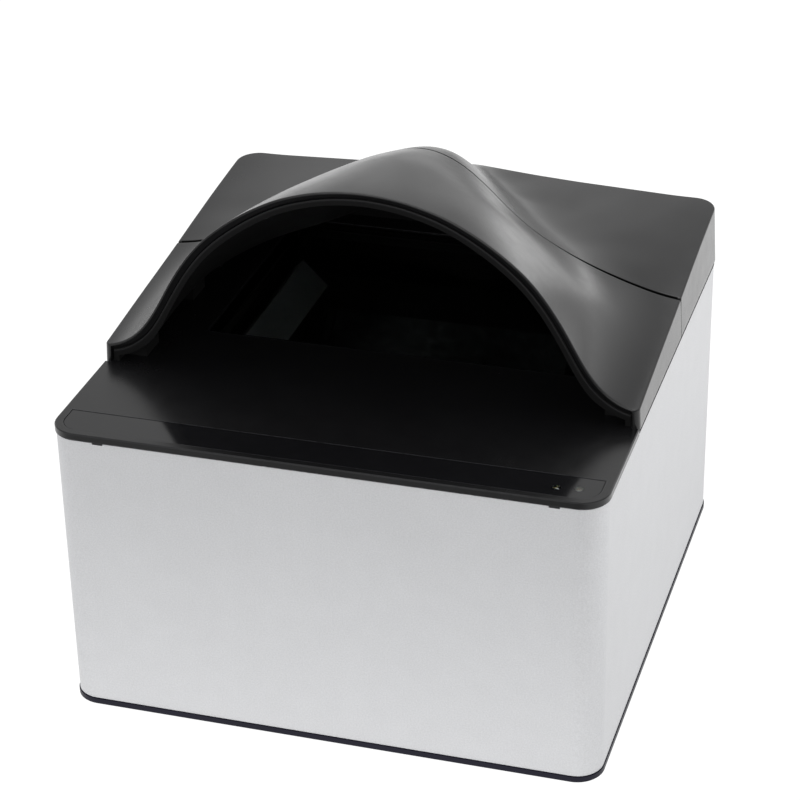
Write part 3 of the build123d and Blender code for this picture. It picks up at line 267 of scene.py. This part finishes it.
def visor_mesh(name, material):
    y_end = Y_SEAM - SEAM_GAP / 2
    near = [d for d, _ in rounding(EDGE_R, 7)] + [d for d, _ in rounding(FRONT_R, 10)]
    near = sorted(near)
    near = [near[0]] + [b for a, b in zip(near, near[1:]) if b - a > 0.015]
    tail = [y_end - d for d, _ in rounding(SEAM_R, 5)][::-1]
    ys = np.concatenate([Y_LIP + np.array(near), spread(Y_LIP + FRONT_R + 0.6, tail[0] - 0.6, 1.3), tail])
    top_back = set_back(ys - Y_LIP, EDGE_R) + set_back(y_end - ys, SEAM_R)
    wall_back = set_back(ys - Y_LIP, FRONT_R) + set_back(y_end - ys, SEAM_R)
    tau = across(94.0, 1.3)
    lip_rows = [(Y_LIP, 0.72, 2.26), (Y_LIP + UNDERCUT * 0.5, 1.60, 2.38)]

    def section(y, t_back, w_back, inset, r):
        one = np.ones_like(y)
        sides = []
        for s in (-1.0, 1.0):
            sides.append(rim(s * WIDTH / 2 * one, y, s * one, 0 * one, inset + w_back, inset + t_back, r))
        top = rows_top(y, sides[0][0], sides[1][0], (tau + 1) / 2, inset + t_back)
        left = sides[0][1:][::-1].transpose(1, 0, 2)
        right = sides[1][1:].transpose(1, 0, 2)
        return np.concatenate([left, top, right], 1)

    b = Builder()
    outer = b.grid(section(ys, top_back, wall_back, 0.0, EDGE_R))
    y_in = Y_LIP + UNDERCUT + (ys - ys[0]) * (y_end - Y_LIP - UNDERCUT) / (ys[-1] - ys[0])
    inner = b.grid(section(y_in, 0 * ys, 0 * ys, SHELL, 0.3))
    lips = b.grid(np.concatenate([section(np.array([y]), np.array([t]), np.array([w]), 0.0, EDGE_R) for y, t, w in lip_rows]))
    b.quads(outer)
    b.quads(inner, flip=True)
    b.quads(np.stack([outer[-1], inner[-1]]))
    b.quads(np.concatenate([inner[:1], lips[::-1], outer[:1]]))
    for c in (0, -1):
        b.quads(np.stack([outer[:, c], inner[:, c]]), flip=(c == 0))
        b.f.append([int(v) for v in (outer[0, c], lips[0, c], lips[1, c], inner[0, c])][:: 1 if c else -1])
    b.close_sides(y_end, 0.48)
    return b.mesh(name, material)


def roof_mesh(name, material):
    y0, y_rear = Y_SEAM + SEAM_GAP / 2, DEPTH / 2
    head = np.array([d for d, _ in rounding(SEAM_R, 5)])
    y_c = y_rear - CORNER_R
    side_y = np.concatenate([y0 + head, spread(y0 + SEAM_R + 0.6, y_c, 1.3)])
    ang = np.linspace(0, math.pi / 2, 19)[1:-1]
    tau = across(85.3, 1.25)

    def surface(inset, r):
        back = set_back(side_y - y0, SEAM_R) if inset == 0 else 0 * side_y
        px = [-WIDTH / 2 * np.ones_like(side_y), -WIDTH / 2 + CORNER_R * (1 - np.cos(ang))]
        py = [side_y, y_c + CORNER_R * np.sin(ang)]
        nx, ny = [-np.ones_like(side_y), -np.cos(ang)], [np.zeros_like(side_y), np.sin(ang)]
        bk = [back, 0 * ang]
        px, py, nx, ny, bk = (np.concatenate(a) for a in (px, py, nx, ny, bk))
        mid = (WIDTH / 2 - CORNER_R) * tau
        zero = np.zeros_like(mid)
        ring = rim(
            np.concatenate([px, mid, -px[::-1]]),
            np.concatenate([py, zero + y_rear, py[::-1]]),
            np.concatenate([nx, zero, -nx[::-1]]),
            np.concatenate([ny, zero + 1, ny[::-1]]),
            inset + np.concatenate([bk, zero, bk[::-1]]),
            inset + np.concatenate([bk, zero, bk[::-1]]),
            r,
        )
        n, k = len(px), ring.shape[1]
        start = ring[0]
        left, right, rear = start[:n], start[k - n :][::-1], start[n : k - n]
        blend = np.clip((left[:, 1] - (y_c - 30)) / 30, 0, 1) ** 2
        bend = blend[:, None] * (rear[:, 1] - rear[0, 1])[None, :]
        t = (rear[:, 0] - rear[0, 0]) / (rear[-1, 0] - rear[0, 0])
        top = rows_top(left[:, 1], left, right, t, inset + bk, bend)
        return np.concatenate([top, rear[None]], 0), ring

    b = Builder()
    done = []
    for inset, r, flip in ((0.0, EDGE_R, False), (SHELL, 0.3, True)):
        top, ring = surface(inset, r)
        it, ir = b.grid(top), b.grid(ring)
        b.quads(it, flip)
        b.quads(ir, not flip)
        n = top.shape[0] - 1
        k = ring.shape[1]
        done.append((it, ir, np.concatenate([ir[:0:-1, 0], it[0], ir[1:, -1]])))
    b.quads(np.stack([done[0][1][-1], done[1][1][-1]]))
    b.quads(np.stack([done[0][2], done[1][2]]))
    b.close_sides(y0, -0.48)
    return b.mesh(name, material)


# ------------------------------------------------------------------ materials
class Mat:
    """A node material: one Principled shader and the textures that feed it."""

    def __init__(self, name, **sockets):
        self.m = bpy.data.materials.new(name)
        self.m.use_nodes = True
        self.nt = self.m.node_tree
        self.nt.nodes.clear()
        out = self.add("ShaderNodeOutputMaterial")
        self.s = self.add("ShaderNodeBsdfPrincipled")
        self.nt.links.new(self.s.outputs[0], out.inputs[0])
        self.pos = self.add("ShaderNodeTexCoord").outputs["Object"]
        for k, v in sockets.items():
            self.s.inputs[k.replace("_", " ")].default_value = v

    def add(self, kind, **props):
        n = self.nt.nodes.new(kind)
        for k, v in props.items():
            setattr(n, k, v)
        return n

    def link(self, a, b):
        self.nt.links.new(a, b)

    def feed(self, sock, v):
        if hasattr(v, "is_output"):
            self.link(v, sock)
        else:
            sock.default_value = v

    def noise(self, size, detail=2.0, rough=0.5, stretch=(1, 1, 1), seed=0.0):
        """Noise whose features are about size metres across."""
        mp = self.add("ShaderNodeMapping")
        mp.inputs["Location"].default_value = (seed * 0.37, seed * 0.11, seed * 0.73)
        mp.inputs["Scale"].default_value = stretch
        self.link(self.pos, mp.inputs["Vector"])
        n = self.add("ShaderNodeTexNoise")
        n.inputs["Scale"].default_value = 1.0 / size
        n.inputs["Detail"].default_value = detail
        n.inputs["Roughness"].default_value = rough
        self.link(mp.outputs[0], n.inputs["Vector"])
        return n.outputs["Fac"]

    def cells(self, size, seed=0.0, feature="F1"):
        mp = self.add("ShaderNodeMapping")
        mp.inputs["Location"].default_value = (seed, seed * 0.5, seed * 0.25)
        self.link(self.pos, mp.inputs["Vector"])
        n = self.add("ShaderNodeTexVoronoi", feature=feature)
        n.inputs["Scale"].default_value = 1.0 / size
        self.link(mp.outputs[0], n.inputs["Vector"])
        return n.outputs["Distance"]

    def ramp(self, fac, a, b, lo=0.0, hi=1.0):
        n = self.add("ShaderNodeMapRange")
        n.inputs["From Min"].default_value = a
        n.inputs["From Max"].default_value = b
        n.inputs["To Min"].default_value = lo
        n.inputs["To Max"].default_value = hi
        self.feed(n.inputs["Value"], fac)
        return n.outputs["Result"]

    def math(self, op, a, b=0.0, clamp=False):
        n = self.add("ShaderNodeMath", operation=op, use_clamp=clamp)
        self.feed(n.inputs[0], a)
        self.feed(n.inputs[1], b)
        return n.outputs[0]

    def mix(self, fac, a, b):
        n = self.add("ShaderNodeMix", data_type="RGBA")
        self.feed(n.inputs["Factor"], fac)
        self.feed(n.inputs[6], a if hasattr(a, "is_output") else tuple(a) + (1.0,) * (4 - len(a)))
        self.feed(n.inputs[7], b if hasattr(b, "is_output") else tuple(b) + (1.0,) * (4 - len(b)))
        return n.outputs[2]

    def edges(self, radius, a=0.02, b=0.25):
        """1 at sharp convex or concave edges, 0 on open faces."""
        bev = self.add("ShaderNodeBevel", samples=4)
        bev.inputs["Radius"].default_value = radius
        geo = self.add("ShaderNodeNewGeometry")
        dot = self.add("ShaderNodeVectorMath", operation="DOT_PRODUCT")
        self.link(bev.outputs[0], dot.inputs[0])
        self.link(geo.outputs["Normal"], dot.inputs[1])
        return self.ramp(self.math("SUBTRACT", 1.0, dot.outputs["Value"]), a, b)

    def bump(self, height, dist, strength=1.0, over=None):
        n = self.add("ShaderNodeBump")
        n.inputs["Strength"].default_value = strength
        n.inputs["Distance"].default_value = dist
        self.link(height, n.inputs["Height"])
        if over is not None:
            self.link(over, n.inputs["Normal"])
        self.link(n.outputs[0], self.s.inputs["Normal"])
        return n.outputs[0]

    def color(self, v):
        self.feed(self.s.inputs["Base Color"], v)

    def rough(self, v):
        self.feed(self.s.inputs["Roughness"], v)


def shade(c, k):
    return tuple(min(1.0, x * k) for x in c)


def moulded(name, c, rough, grain=0.00035, depth=0.000012, spread_=0.06, wear_and_highlight=0.0, rub_and_highlight=2.6, even=0.42, shaded_joint_y=None, **kw):
    """Moulded plastic with a spark-eroded texture, soft mottling and lighter, smoother edges: a little worn polish, and
    where the edges are brightened strongly a painted highlight line along them; painted shade in a joint when one is
    given.
    """
    m = Mat(name, **kw)
    big, mid, fine = m.noise(0.045, 3), m.noise(0.006, 3, seed=2), m.noise(grain, 2, seed=5)
    tone = m.math("ADD", m.math("MULTIPLY", big, 0.55), m.math("ADD", m.math("MULTIPLY", mid, 0.25), m.math("MULTIPLY", fine, 0.2)))
    col = m.mix(m.ramp(tone, 0.35, 0.65), shade(c, 0.86), shade(c, 1.14))
    r = m.ramp(m.math("ADD", m.math("MULTIPLY", big, 0.5), m.math("MULTIPLY", mid, 0.5)), 0.3, 0.7, rough - spread_ / 2, rough + spread_ / 2)
    if wear_and_highlight:
        # edges painted lighter and smoother: worn polish, and with strong brightening a painted highlight along the
        # edges
        e = m.math("MULTIPLY", m.edges(0.0006), m.ramp(m.noise(0.004, 4, 0.65, seed=9), even, even + 0.18))
        col = m.mix(m.math("MULTIPLY", e, wear_and_highlight), col, shade(c, rub_and_highlight))
        r = m.math("SUBTRACT", r, m.math("MULTIPLY", e, 0.08))
    if shaded_joint_y is not None:
        # painted shade: near-black, matt, weakly reflecting colour on the walls of the joint that runs across at this
        # depth, where shade falls in the gap
        at = m.add("ShaderNodeSeparateXYZ")
        m.link(m.pos, at.inputs[0])
        g = m.ramp(m.math("ABSOLUTE", m.math("SUBTRACT", at.outputs["Y"], shaded_joint_y)), 0.00068, 0.00092, 1.0, 0.0)
        g = m.math("MULTIPLY", g, m.ramp(m.math("ABSOLUTE", at.outputs["X"]), 0.0928, 0.0932, 1.0, 0.0))
        col = m.mix(g, col, (0.0015, 0.0015, 0.0015))
        r = m.math("ADD", r, m.math("MULTIPLY", g, 0.5))
        m.feed(m.s.inputs["Specular IOR Level"], m.ramp(g, 0.0, 1.0, 0.5, 0.06))
    m.color(col)
    m.rough(r)
    m.bump(fine, depth, 0.6)
    return m.m


def metal(name, c, rough, grain=0.0004, depth=0.00001, brushed=None, **kw):
    """Bare or plated metal with fine grain, smudges and brighter rubbed edges."""
    m = Mat(name, Metallic=1.0, **kw)
    st = brushed or (1, 1, 1)
    fine, mid = m.noise(grain, 2, stretch=st), m.noise(0.004, 4, 0.6, seed=3)
    col = m.mix(m.ramp(m.math("ADD", m.math("MULTIPLY", fine, 0.4), m.math("MULTIPLY", mid, 0.6)), 0.35, 0.65), shade(c, 0.84), shade(c, 1.08))
    e = m.edges(0.0003)
    m.color(m.mix(m.math("MULTIPLY", e, 0.5), col, shade(c, 1.25)))
    m.rough(m.ramp(mid, 0.3, 0.7, rough - 0.06, rough + 0.09))
    m.bump(fine, depth, 0.5)
    return m.m


def blasted_aluminium(name):
    """Bead-blasted sheet, clear anodised: fine sparkle painted into the colour as lighter specks (painted glints),
    faint clouding, and cut edges painted brighter: bare cut metal and a painted highlight.
    """
    m = Mat(name, Metallic=0.62)
    cloud, spot = m.noise(0.06, 3, seed=1), m.noise(0.009, 3, 0.55, seed=4)
    grain, glint_specks = m.noise(0.00055, 1.5, 0.6, seed=7), m.cells(0.0006, seed=3)
    tone = m.math("ADD", m.math("MULTIPLY", cloud, 0.16), m.math("ADD", m.math("MULTIPLY", spot, 0.14), m.math("MULTIPLY", grain, 0.70)))
    c = (0.600, 0.604, 0.616)
    col = m.mix(m.ramp(tone, 0.34, 0.66), shade(c, 0.93), shade(c, 1.07))
    # painted glints: tiny lighter specks in the colour
    col = m.mix(m.ramp(glint_specks, 0.16, 0.02, 0.0, 0.20), col, shade(c, 1.3))
    # cut edges painted brighter: bare cut metal, and a painted highlight along the chamfers
    e = m.math("MULTIPLY", m.edges(0.0008), m.ramp(m.noise(0.003, 4, seed=11), 0.3, 0.6, 0.7, 1.0))
    m.color(m.mix(m.math("MULTIPLY", e, 0.85), col, shade(c, 1.5)))
    smudge = m.ramp(m.noise(0.022, 5, 0.6, seed=21), 0.45, 0.68)
    m.rough(m.math("ADD", m.ramp(m.math("ADD", m.math("MULTIPLY", cloud, 0.5), m.math("MULTIPLY", grain, 0.5)), 0.3, 0.7, 0.52, 0.60), m.math("MULTIPLY", smudge, -0.012)))
    m.bump(grain, 0.000030, 0.60)
    return m.m


def liner_black(name):
    """Matt black moulding: faces turned to the front are painted a darker black than the inside ones (painted shade),
    and their upper edge carries a lighter line (painted highlight).
    """
    m = Mat(name, Specular_IOR_Level=0.10)
    big, fine = m.noise(0.03, 3), m.noise(0.0005, 2, seed=5)
    col = m.mix(m.ramp(m.math("ADD", m.math("MULTIPLY", big, 0.6), m.math("MULTIPLY", fine, 0.4)), 0.35, 0.65), (0.0120, 0.0120, 0.0122), (0.0150, 0.0150, 0.0152))
    bev, face, soft = m.add("ShaderNodeBevel", samples=4), m.add("ShaderNodeSeparateXYZ"), m.add("ShaderNodeSeparateXYZ")
    bev.inputs["Radius"].default_value = 0.0011
    geo = m.add("ShaderNodeNewGeometry")
    m.link(geo.outputs["Normal"], face.inputs[0])
    m.link(bev.outputs[0], soft.inputs[0])
    # painted shade by facing: front-facing surfaces darker than the inside; painted highlight: a lighter line along
    # their upper edge
    front = m.ramp(face.outputs["Y"], -0.5, -0.9, 0.0, 1.0)
    e = m.math("MULTIPLY", front, m.ramp(soft.outputs["Z"], 0.04, 0.28, 0.0, 1.0))
    m.color(m.mix(e, m.mix(front, col, (0.0036, 0.0036, 0.0037)), (0.027, 0.027, 0.028)))
    m.rough(m.ramp(big, 0.3, 0.7, 0.60, 0.68))
    m.bump(fine, 0.00003, 0.6)
    return m.m


def board(name):
    """Green solder mask with faint copper tracks under it."""
    m = Mat(name)
    tr = m.add("ShaderNodeTexBrick")
    tr.inputs["Scale"].default_value = 260
    tr.inputs["Mortar Size"].default_value = 0.012
    tr.inputs["Color1"].default_value = (0.0, 0.0, 0.0, 1)
    tr.inputs["Color2"].default_value = (0.25, 0.25, 0.25, 1)
    tr.inputs["Mortar"].default_value = (1, 1, 1, 1)
    m.link(m.pos, tr.inputs["Vector"])
    base = m.mix(m.ramp(m.noise(0.01, 3), 0.35, 0.65), (0.008, 0.075, 0.030), (0.012, 0.105, 0.042))
    m.color(m.mix(m.math("MULTIPLY", tr.outputs["Color"], 0.5), base, (0.03, 0.20, 0.07)))
    m.rough(m.ramp(m.noise(0.003, 3, seed=2), 0.3, 0.7, 0.25, 0.38))
    m.bump(tr.outputs["Color"], 0.00003, 0.4)
    return m.m


def clear(name, c, rough=0.02, ior=1.5):
    m = Mat(name, Transmission_Weight=1.0, IOR=ior)
    m.color(m.mix(m.ramp(m.noise(0.03, 3), 0.3, 0.7), shade(c, 0.985), c))
    m.rough(m.ramp(m.noise(0.02, 5, 0.6, seed=4), 0.35, 0.75, rough, rough + 0.035))
    return m.m


MATS = {
    # hood and deck plastic; the joint between visor and roof gets painted shade
    "deck_plastic": moulded("satin black plastic", (0.0062, 0.0062, 0.0066), 0.25, wear_and_highlight=0.35, shaded_joint_y=Y_SEAM * MM, IOR=1.45),
    # top deck: edges brightened eightfold all round, a painted highlight line along them
    "deck_edge_highlit": moulded("satin black plastic, painted edge highlights", (0.0046, 0.0046, 0.0050), 0.25, wear_and_highlight=1.0, rub_and_highlight=8.0, even=0.28, IOR=1.45),
    "liner_plastic": liner_black("matt black plastic"),
    "strip_gloss": moulded("gloss black insert", (0.0050, 0.0050, 0.0056), 0.10, grain=0.004, depth=0.000004, spread_=0.05),
    "sleeve_aluminium": blasted_aluminium("bead-blasted aluminium"),
    "base_plastic": moulded("dark base plastic", (0.0040, 0.0034, 0.0120), 0.42, wear_and_highlight=0.15, IOR=1.30),
    "panel_plastic": moulded("black panel plastic", (0.0070, 0.0070, 0.0073), 0.40, wear_and_highlight=0.2, IOR=1.40),
    "foot_rubber": moulded("foot rubber", (0.018, 0.018, 0.018), 0.75, grain=0.0006, depth=0.00004),
    "seal_foam": moulded("seal foam", (0.008, 0.008, 0.008), 0.9, grain=0.0007, depth=0.00012, Specular_IOR_Level=0.15),
    "steel": metal("zinc-plated steel", (0.58, 0.58, 0.59), 0.30),
    "black_steel": moulded("black coated steel", (0.02, 0.02, 0.021), 0.42, grain=0.0008, depth=0.00002, wear_and_highlight=0.5),
    "brass": metal("turned brass", (0.72, 0.52, 0.22), 0.26),
    "window_glass": clear("window glass", (0.42, 0.45, 0.44)),
    "mirror": metal("front-silvered mirror", (0.90, 0.91, 0.92), 0.08, grain=0.003, depth=0.000001),
    "board_green": board("solder mask"),
    "chip_black": moulded("chip epoxy", (0.020, 0.020, 0.021), 0.55, grain=0.0003, depth=0.00001),
    "led_yellow": moulded("phosphor lens", (0.72, 0.62, 0.20), 0.22, grain=0.0008),
    "diffuser_white": moulded("opal diffuser", (0.74, 0.75, 0.75), 0.45),
    "ribbon_white": moulded("flat ribbon", (0.66, 0.66, 0.62), 0.40),
    "connector_white": moulded("nylon connector", (0.70, 0.68, 0.60), 0.45),
    "light_pipe": clear("light pipe", (0.86, 0.89, 0.90), 0.12, 1.58),
    "black_anodised": metal("black anodised aluminium", (0.045, 0.045, 0.048), 0.36),
    "switch_black": moulded("glossy switch plastic", (0.012, 0.012, 0.012), 0.22, grain=0.0006, depth=0.000008, wear_and_highlight=0.2),
}
SLOT_OF = {s["node"]: s["material_slot"] for s in frame["record"]["subparts"]}
for name, o in NODES.items():
    mat = MATS[{"top_deck": "deck_edge_highlit", "port_panel": "panel_plastic"}.get(name, SLOT_OF[name])]
    if not o.material_slots:
        o.data.materials.append(mat)
    for s in o.material_slots:
        s.material = mat

# ------------------------------------------------------------------ hood shells
for node, build in (("hood_visor", visor_mesh), ("hood_roof", roof_mesh)):
    shell = build(node + "_shell", MATS["deck_plastic"])
    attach(shell, "reader_body")
    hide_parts(node)

# ------------------------------------------------------------------ floor, light, camera
floor = bpy.data.meshes.new("floor")
floor.from_pydata([(-6, -6, 0), (6, -6, 0), (6, 6, 0), (-6, 6, 0)], [], [(0, 1, 2, 3)])
floor_o = bpy.data.objects.new("floor", floor)
bpy.context.scene.collection.objects.link(floor_o)
fm = Mat("lit floor", Specular_IOR_Level=0.0, Roughness=1.0)
fm.color(fm.mix(fm.noise(0.5, 2), (0.02, 0.02, 0.02), (0.03, 0.03, 0.03)))
spot = fm.add("ShaderNodeSeparateXYZ")
fm.link(fm.pos, spot.inputs[0])
px, py = spot.outputs["X"], spot.outputs["Y"]
# white round the object, greyer in front of it, brighter behind and to the right
ahead = fm.math("ADD", fm.math("MULTIPLY", px, -0.20), fm.math("MULTIPLY", py, -0.98))
aside = fm.math("ADD", fm.math("MULTIPLY", px, 0.956), fm.math("MULTIPLY", py, 0.294))
grey = fm.ramp(px, -0.14, 0.10, 0.56, 0.04)
near = fm.math("SUBTRACT", 1.06, fm.math("MULTIPLY", fm.ramp(ahead, 0.180, 0.280, 0.0, 1.0), fm.math("SUBTRACT", 1.06, grey)))
bright = fm.math("MULTIPLY", fm.ramp(aside, 0.16, 0.26, 0.0, 1.0), fm.ramp(ahead, 0.10, -0.06, 0.0, 0.31))
far = fm.ramp(fm.math("SQRT", fm.math("ADD", fm.math("MULTIPLY", px, px), fm.math("MULTIPLY", py, py))), 0.75, 1.6, 1.0, 0.45)


def patch(v, a, b, c, d, w, e, f, g, h, power):
    """Floor patch: v rises over a-b and falls over c-d, w likewise over e-f and g-h."""
    across_ = fm.math("MULTIPLY", fm.ramp(v, a, b, 0.0, 1.0), fm.ramp(v, c, d, 1.0, 0.0))
    along = fm.math("MULTIPLY", fm.ramp(w, e, f, 0.0, 1.0), fm.ramp(w, g, h, 1.0, 0.0))
    return fm.math("MULTIPLY", fm.math("MULTIPLY", across_, along), power)


bearing = fm.math("DIVIDE", px, fm.math("MAXIMUM", py, 0.1))
patches = fm.math("ADD", patch(bearing, -0.20, -0.13, 0.00, 0.06, py, 0.71, 0.76, 1.50, 1.90, -0.62), fm.math("ADD", patch(bearing, 0.01, 0.06, 0.20, 0.32, py, 1.90, 2.60, 9.0, 10.0, 2.9), patch(bearing, -0.85, -0.60, -0.36, -0.28, py, 0.75, 0.95, 2.5, 3.0, 0.70)))
fm.s.inputs["Emission Color"].default_value = (1.0, 1.0, 1.0, 1.0)
fm.feed(fm.s.inputs["Emission Strength"], fm.math("MAXIMUM", fm.math("ADD", fm.math("MULTIPLY", fm.math("ADD", near, bright), far), patches), 0.02))
floor.materials.append(fm.m)

world = bpy.data.worlds.new("studio")
bpy.context.scene.world = world
world.use_nodes = True
wn = world.node_tree
wn.nodes.clear()


def wadd(kind, **p):
    n = wn.nodes.new(kind)
    for k, v in p.items():
        setattr(n, k, v)
    return n


def wmath(op, a, b=0.0, clamp=False):
    n = wadd("ShaderNodeMath", operation=op, use_clamp=clamp)
    for s, v in ((n.inputs[0], a), (n.inputs[1], b)):
        if hasattr(v, "is_output"):
            wn.links.new(v, s)
        else:
            s.default_value = v
    return n.outputs[0]


direction = wadd("ShaderNodeTexCoord").outputs["Generated"]
parts = wadd("ShaderNodeSeparateXYZ")
wn.links.new(direction, parts.inputs[0])


def wramp(v, a, b, lo, hi):
    n = wadd("ShaderNodeMapRange", interpolation_type="SMOOTHSTEP")
    n.inputs["From Min"].default_value, n.inputs["From Max"].default_value = a, b
    n.inputs["To Min"].default_value, n.inputs["To Max"].default_value = lo, hi
    wn.links.new(v, n.inputs["Value"])
    return n.outputs["Result"]


def glow(az, el, wide, soft, power):
    """A soft round light on the studio wall; az 0 is in front of the object, 90 to its right."""
    a, e = math.radians(az), math.radians(el)
    d = wadd("ShaderNodeVectorMath", operation="DOT_PRODUCT")
    wn.links.new(direction, d.inputs[0])
    d.inputs[1].default_value = (math.sin(a) * math.cos(e), -math.cos(a) * math.cos(e), math.sin(e))
    return wramp(d.outputs["Value"], math.cos(math.radians(wide + soft)), math.cos(math.radians(max(wide - soft, 0))), 0.0, power)


SKY = [0.98, 0.70]      # at the horizon, and overhead
level = wramp(parts.outputs["Z"], 0.0, 0.5, SKY[0], SKY[1])
GLOWS = [
    (150, 8, 26, 18, 0.22),
    (78, 18, 34, 22, 0.07),
    (175, 10, 6, 5, -0.34),
    (172, 0, 4, 3, 0.50),
    (195, 21, 5, 5, 0.40),
    (12, 12, 34, 26, -0.48),
]
for g in GLOWS:
    level = wmath("ADD", level, glow(*g))
bg = wadd("ShaderNodeBackground")
bg.inputs["Color"].default_value = (1.0, 1.0, 1.0, 1.0)
wn.links.new(level, bg.inputs["Strength"])
wn.links.new(bg.outputs[0], wadd("ShaderNodeOutputWorld").inputs[0])


def area(name, at, size, power, aim=(0, 0, 0.08)):
    l = bpy.data.lights.new(name, "AREA")
    l.shape, l.size, l.size_y, l.energy = "RECTANGLE", size[0], size[1], power
    o = bpy.data.objects.new(name, l)
    o.location = at
    o.rotation_mode = "QUATERNION"
    o.rotation_quaternion = (Vector(aim) - Vector(at)).to_track_quat("-Z", "Y")
    bpy.context.scene.collection.objects.link(o)
    return o


area("overhead soft light", (-0.15, 0.35, 1.5), (1.4, 1.4), 14.0, (0, 0.1, 0))
area("front soft light", (0.02, -1.15, 0.60), (1.3, 0.8), 8.5, (0, -0.1, 0.09))

cam = bpy.data.cameras.new("camera")
cam.lens, cam.sensor_width, cam.sensor_fit = 2551.0 * 36 / 800, 36.0, "HORIZONTAL"
cam.clip_start, cam.clip_end = 0.05, 50
cam_o = bpy.data.objects.new("camera", cam)
bpy.context.scene.collection.objects.link(cam_o)
az, el, roll = math.radians(17.314), math.radians(28.590), math.radians(-1.159)
back = Vector((math.sin(az) * math.cos(el), -math.cos(az) * math.cos(el), math.sin(el)))
right = (-back).cross(Vector((0, 0, 1))).normalized()
up = right.cross(-back)
r2 = math.cos(roll) * right + math.sin(roll) * up
u2 = -math.sin(roll) * right + math.cos(roll) * up
m3 = Matrix((r2, u2, back)).transposed()
cam_o.matrix_world = Matrix.Translation(Vector((237.847, -768.990, 521.598)) * MM) @ m3.to_4x4()
bpy.context.scene.camera = cam_o

vs = bpy.context.scene.view_settings
vs.view_transform, vs.look, vs.exposure, vs.gamma = "Standard", "None", 0.0, 1.0
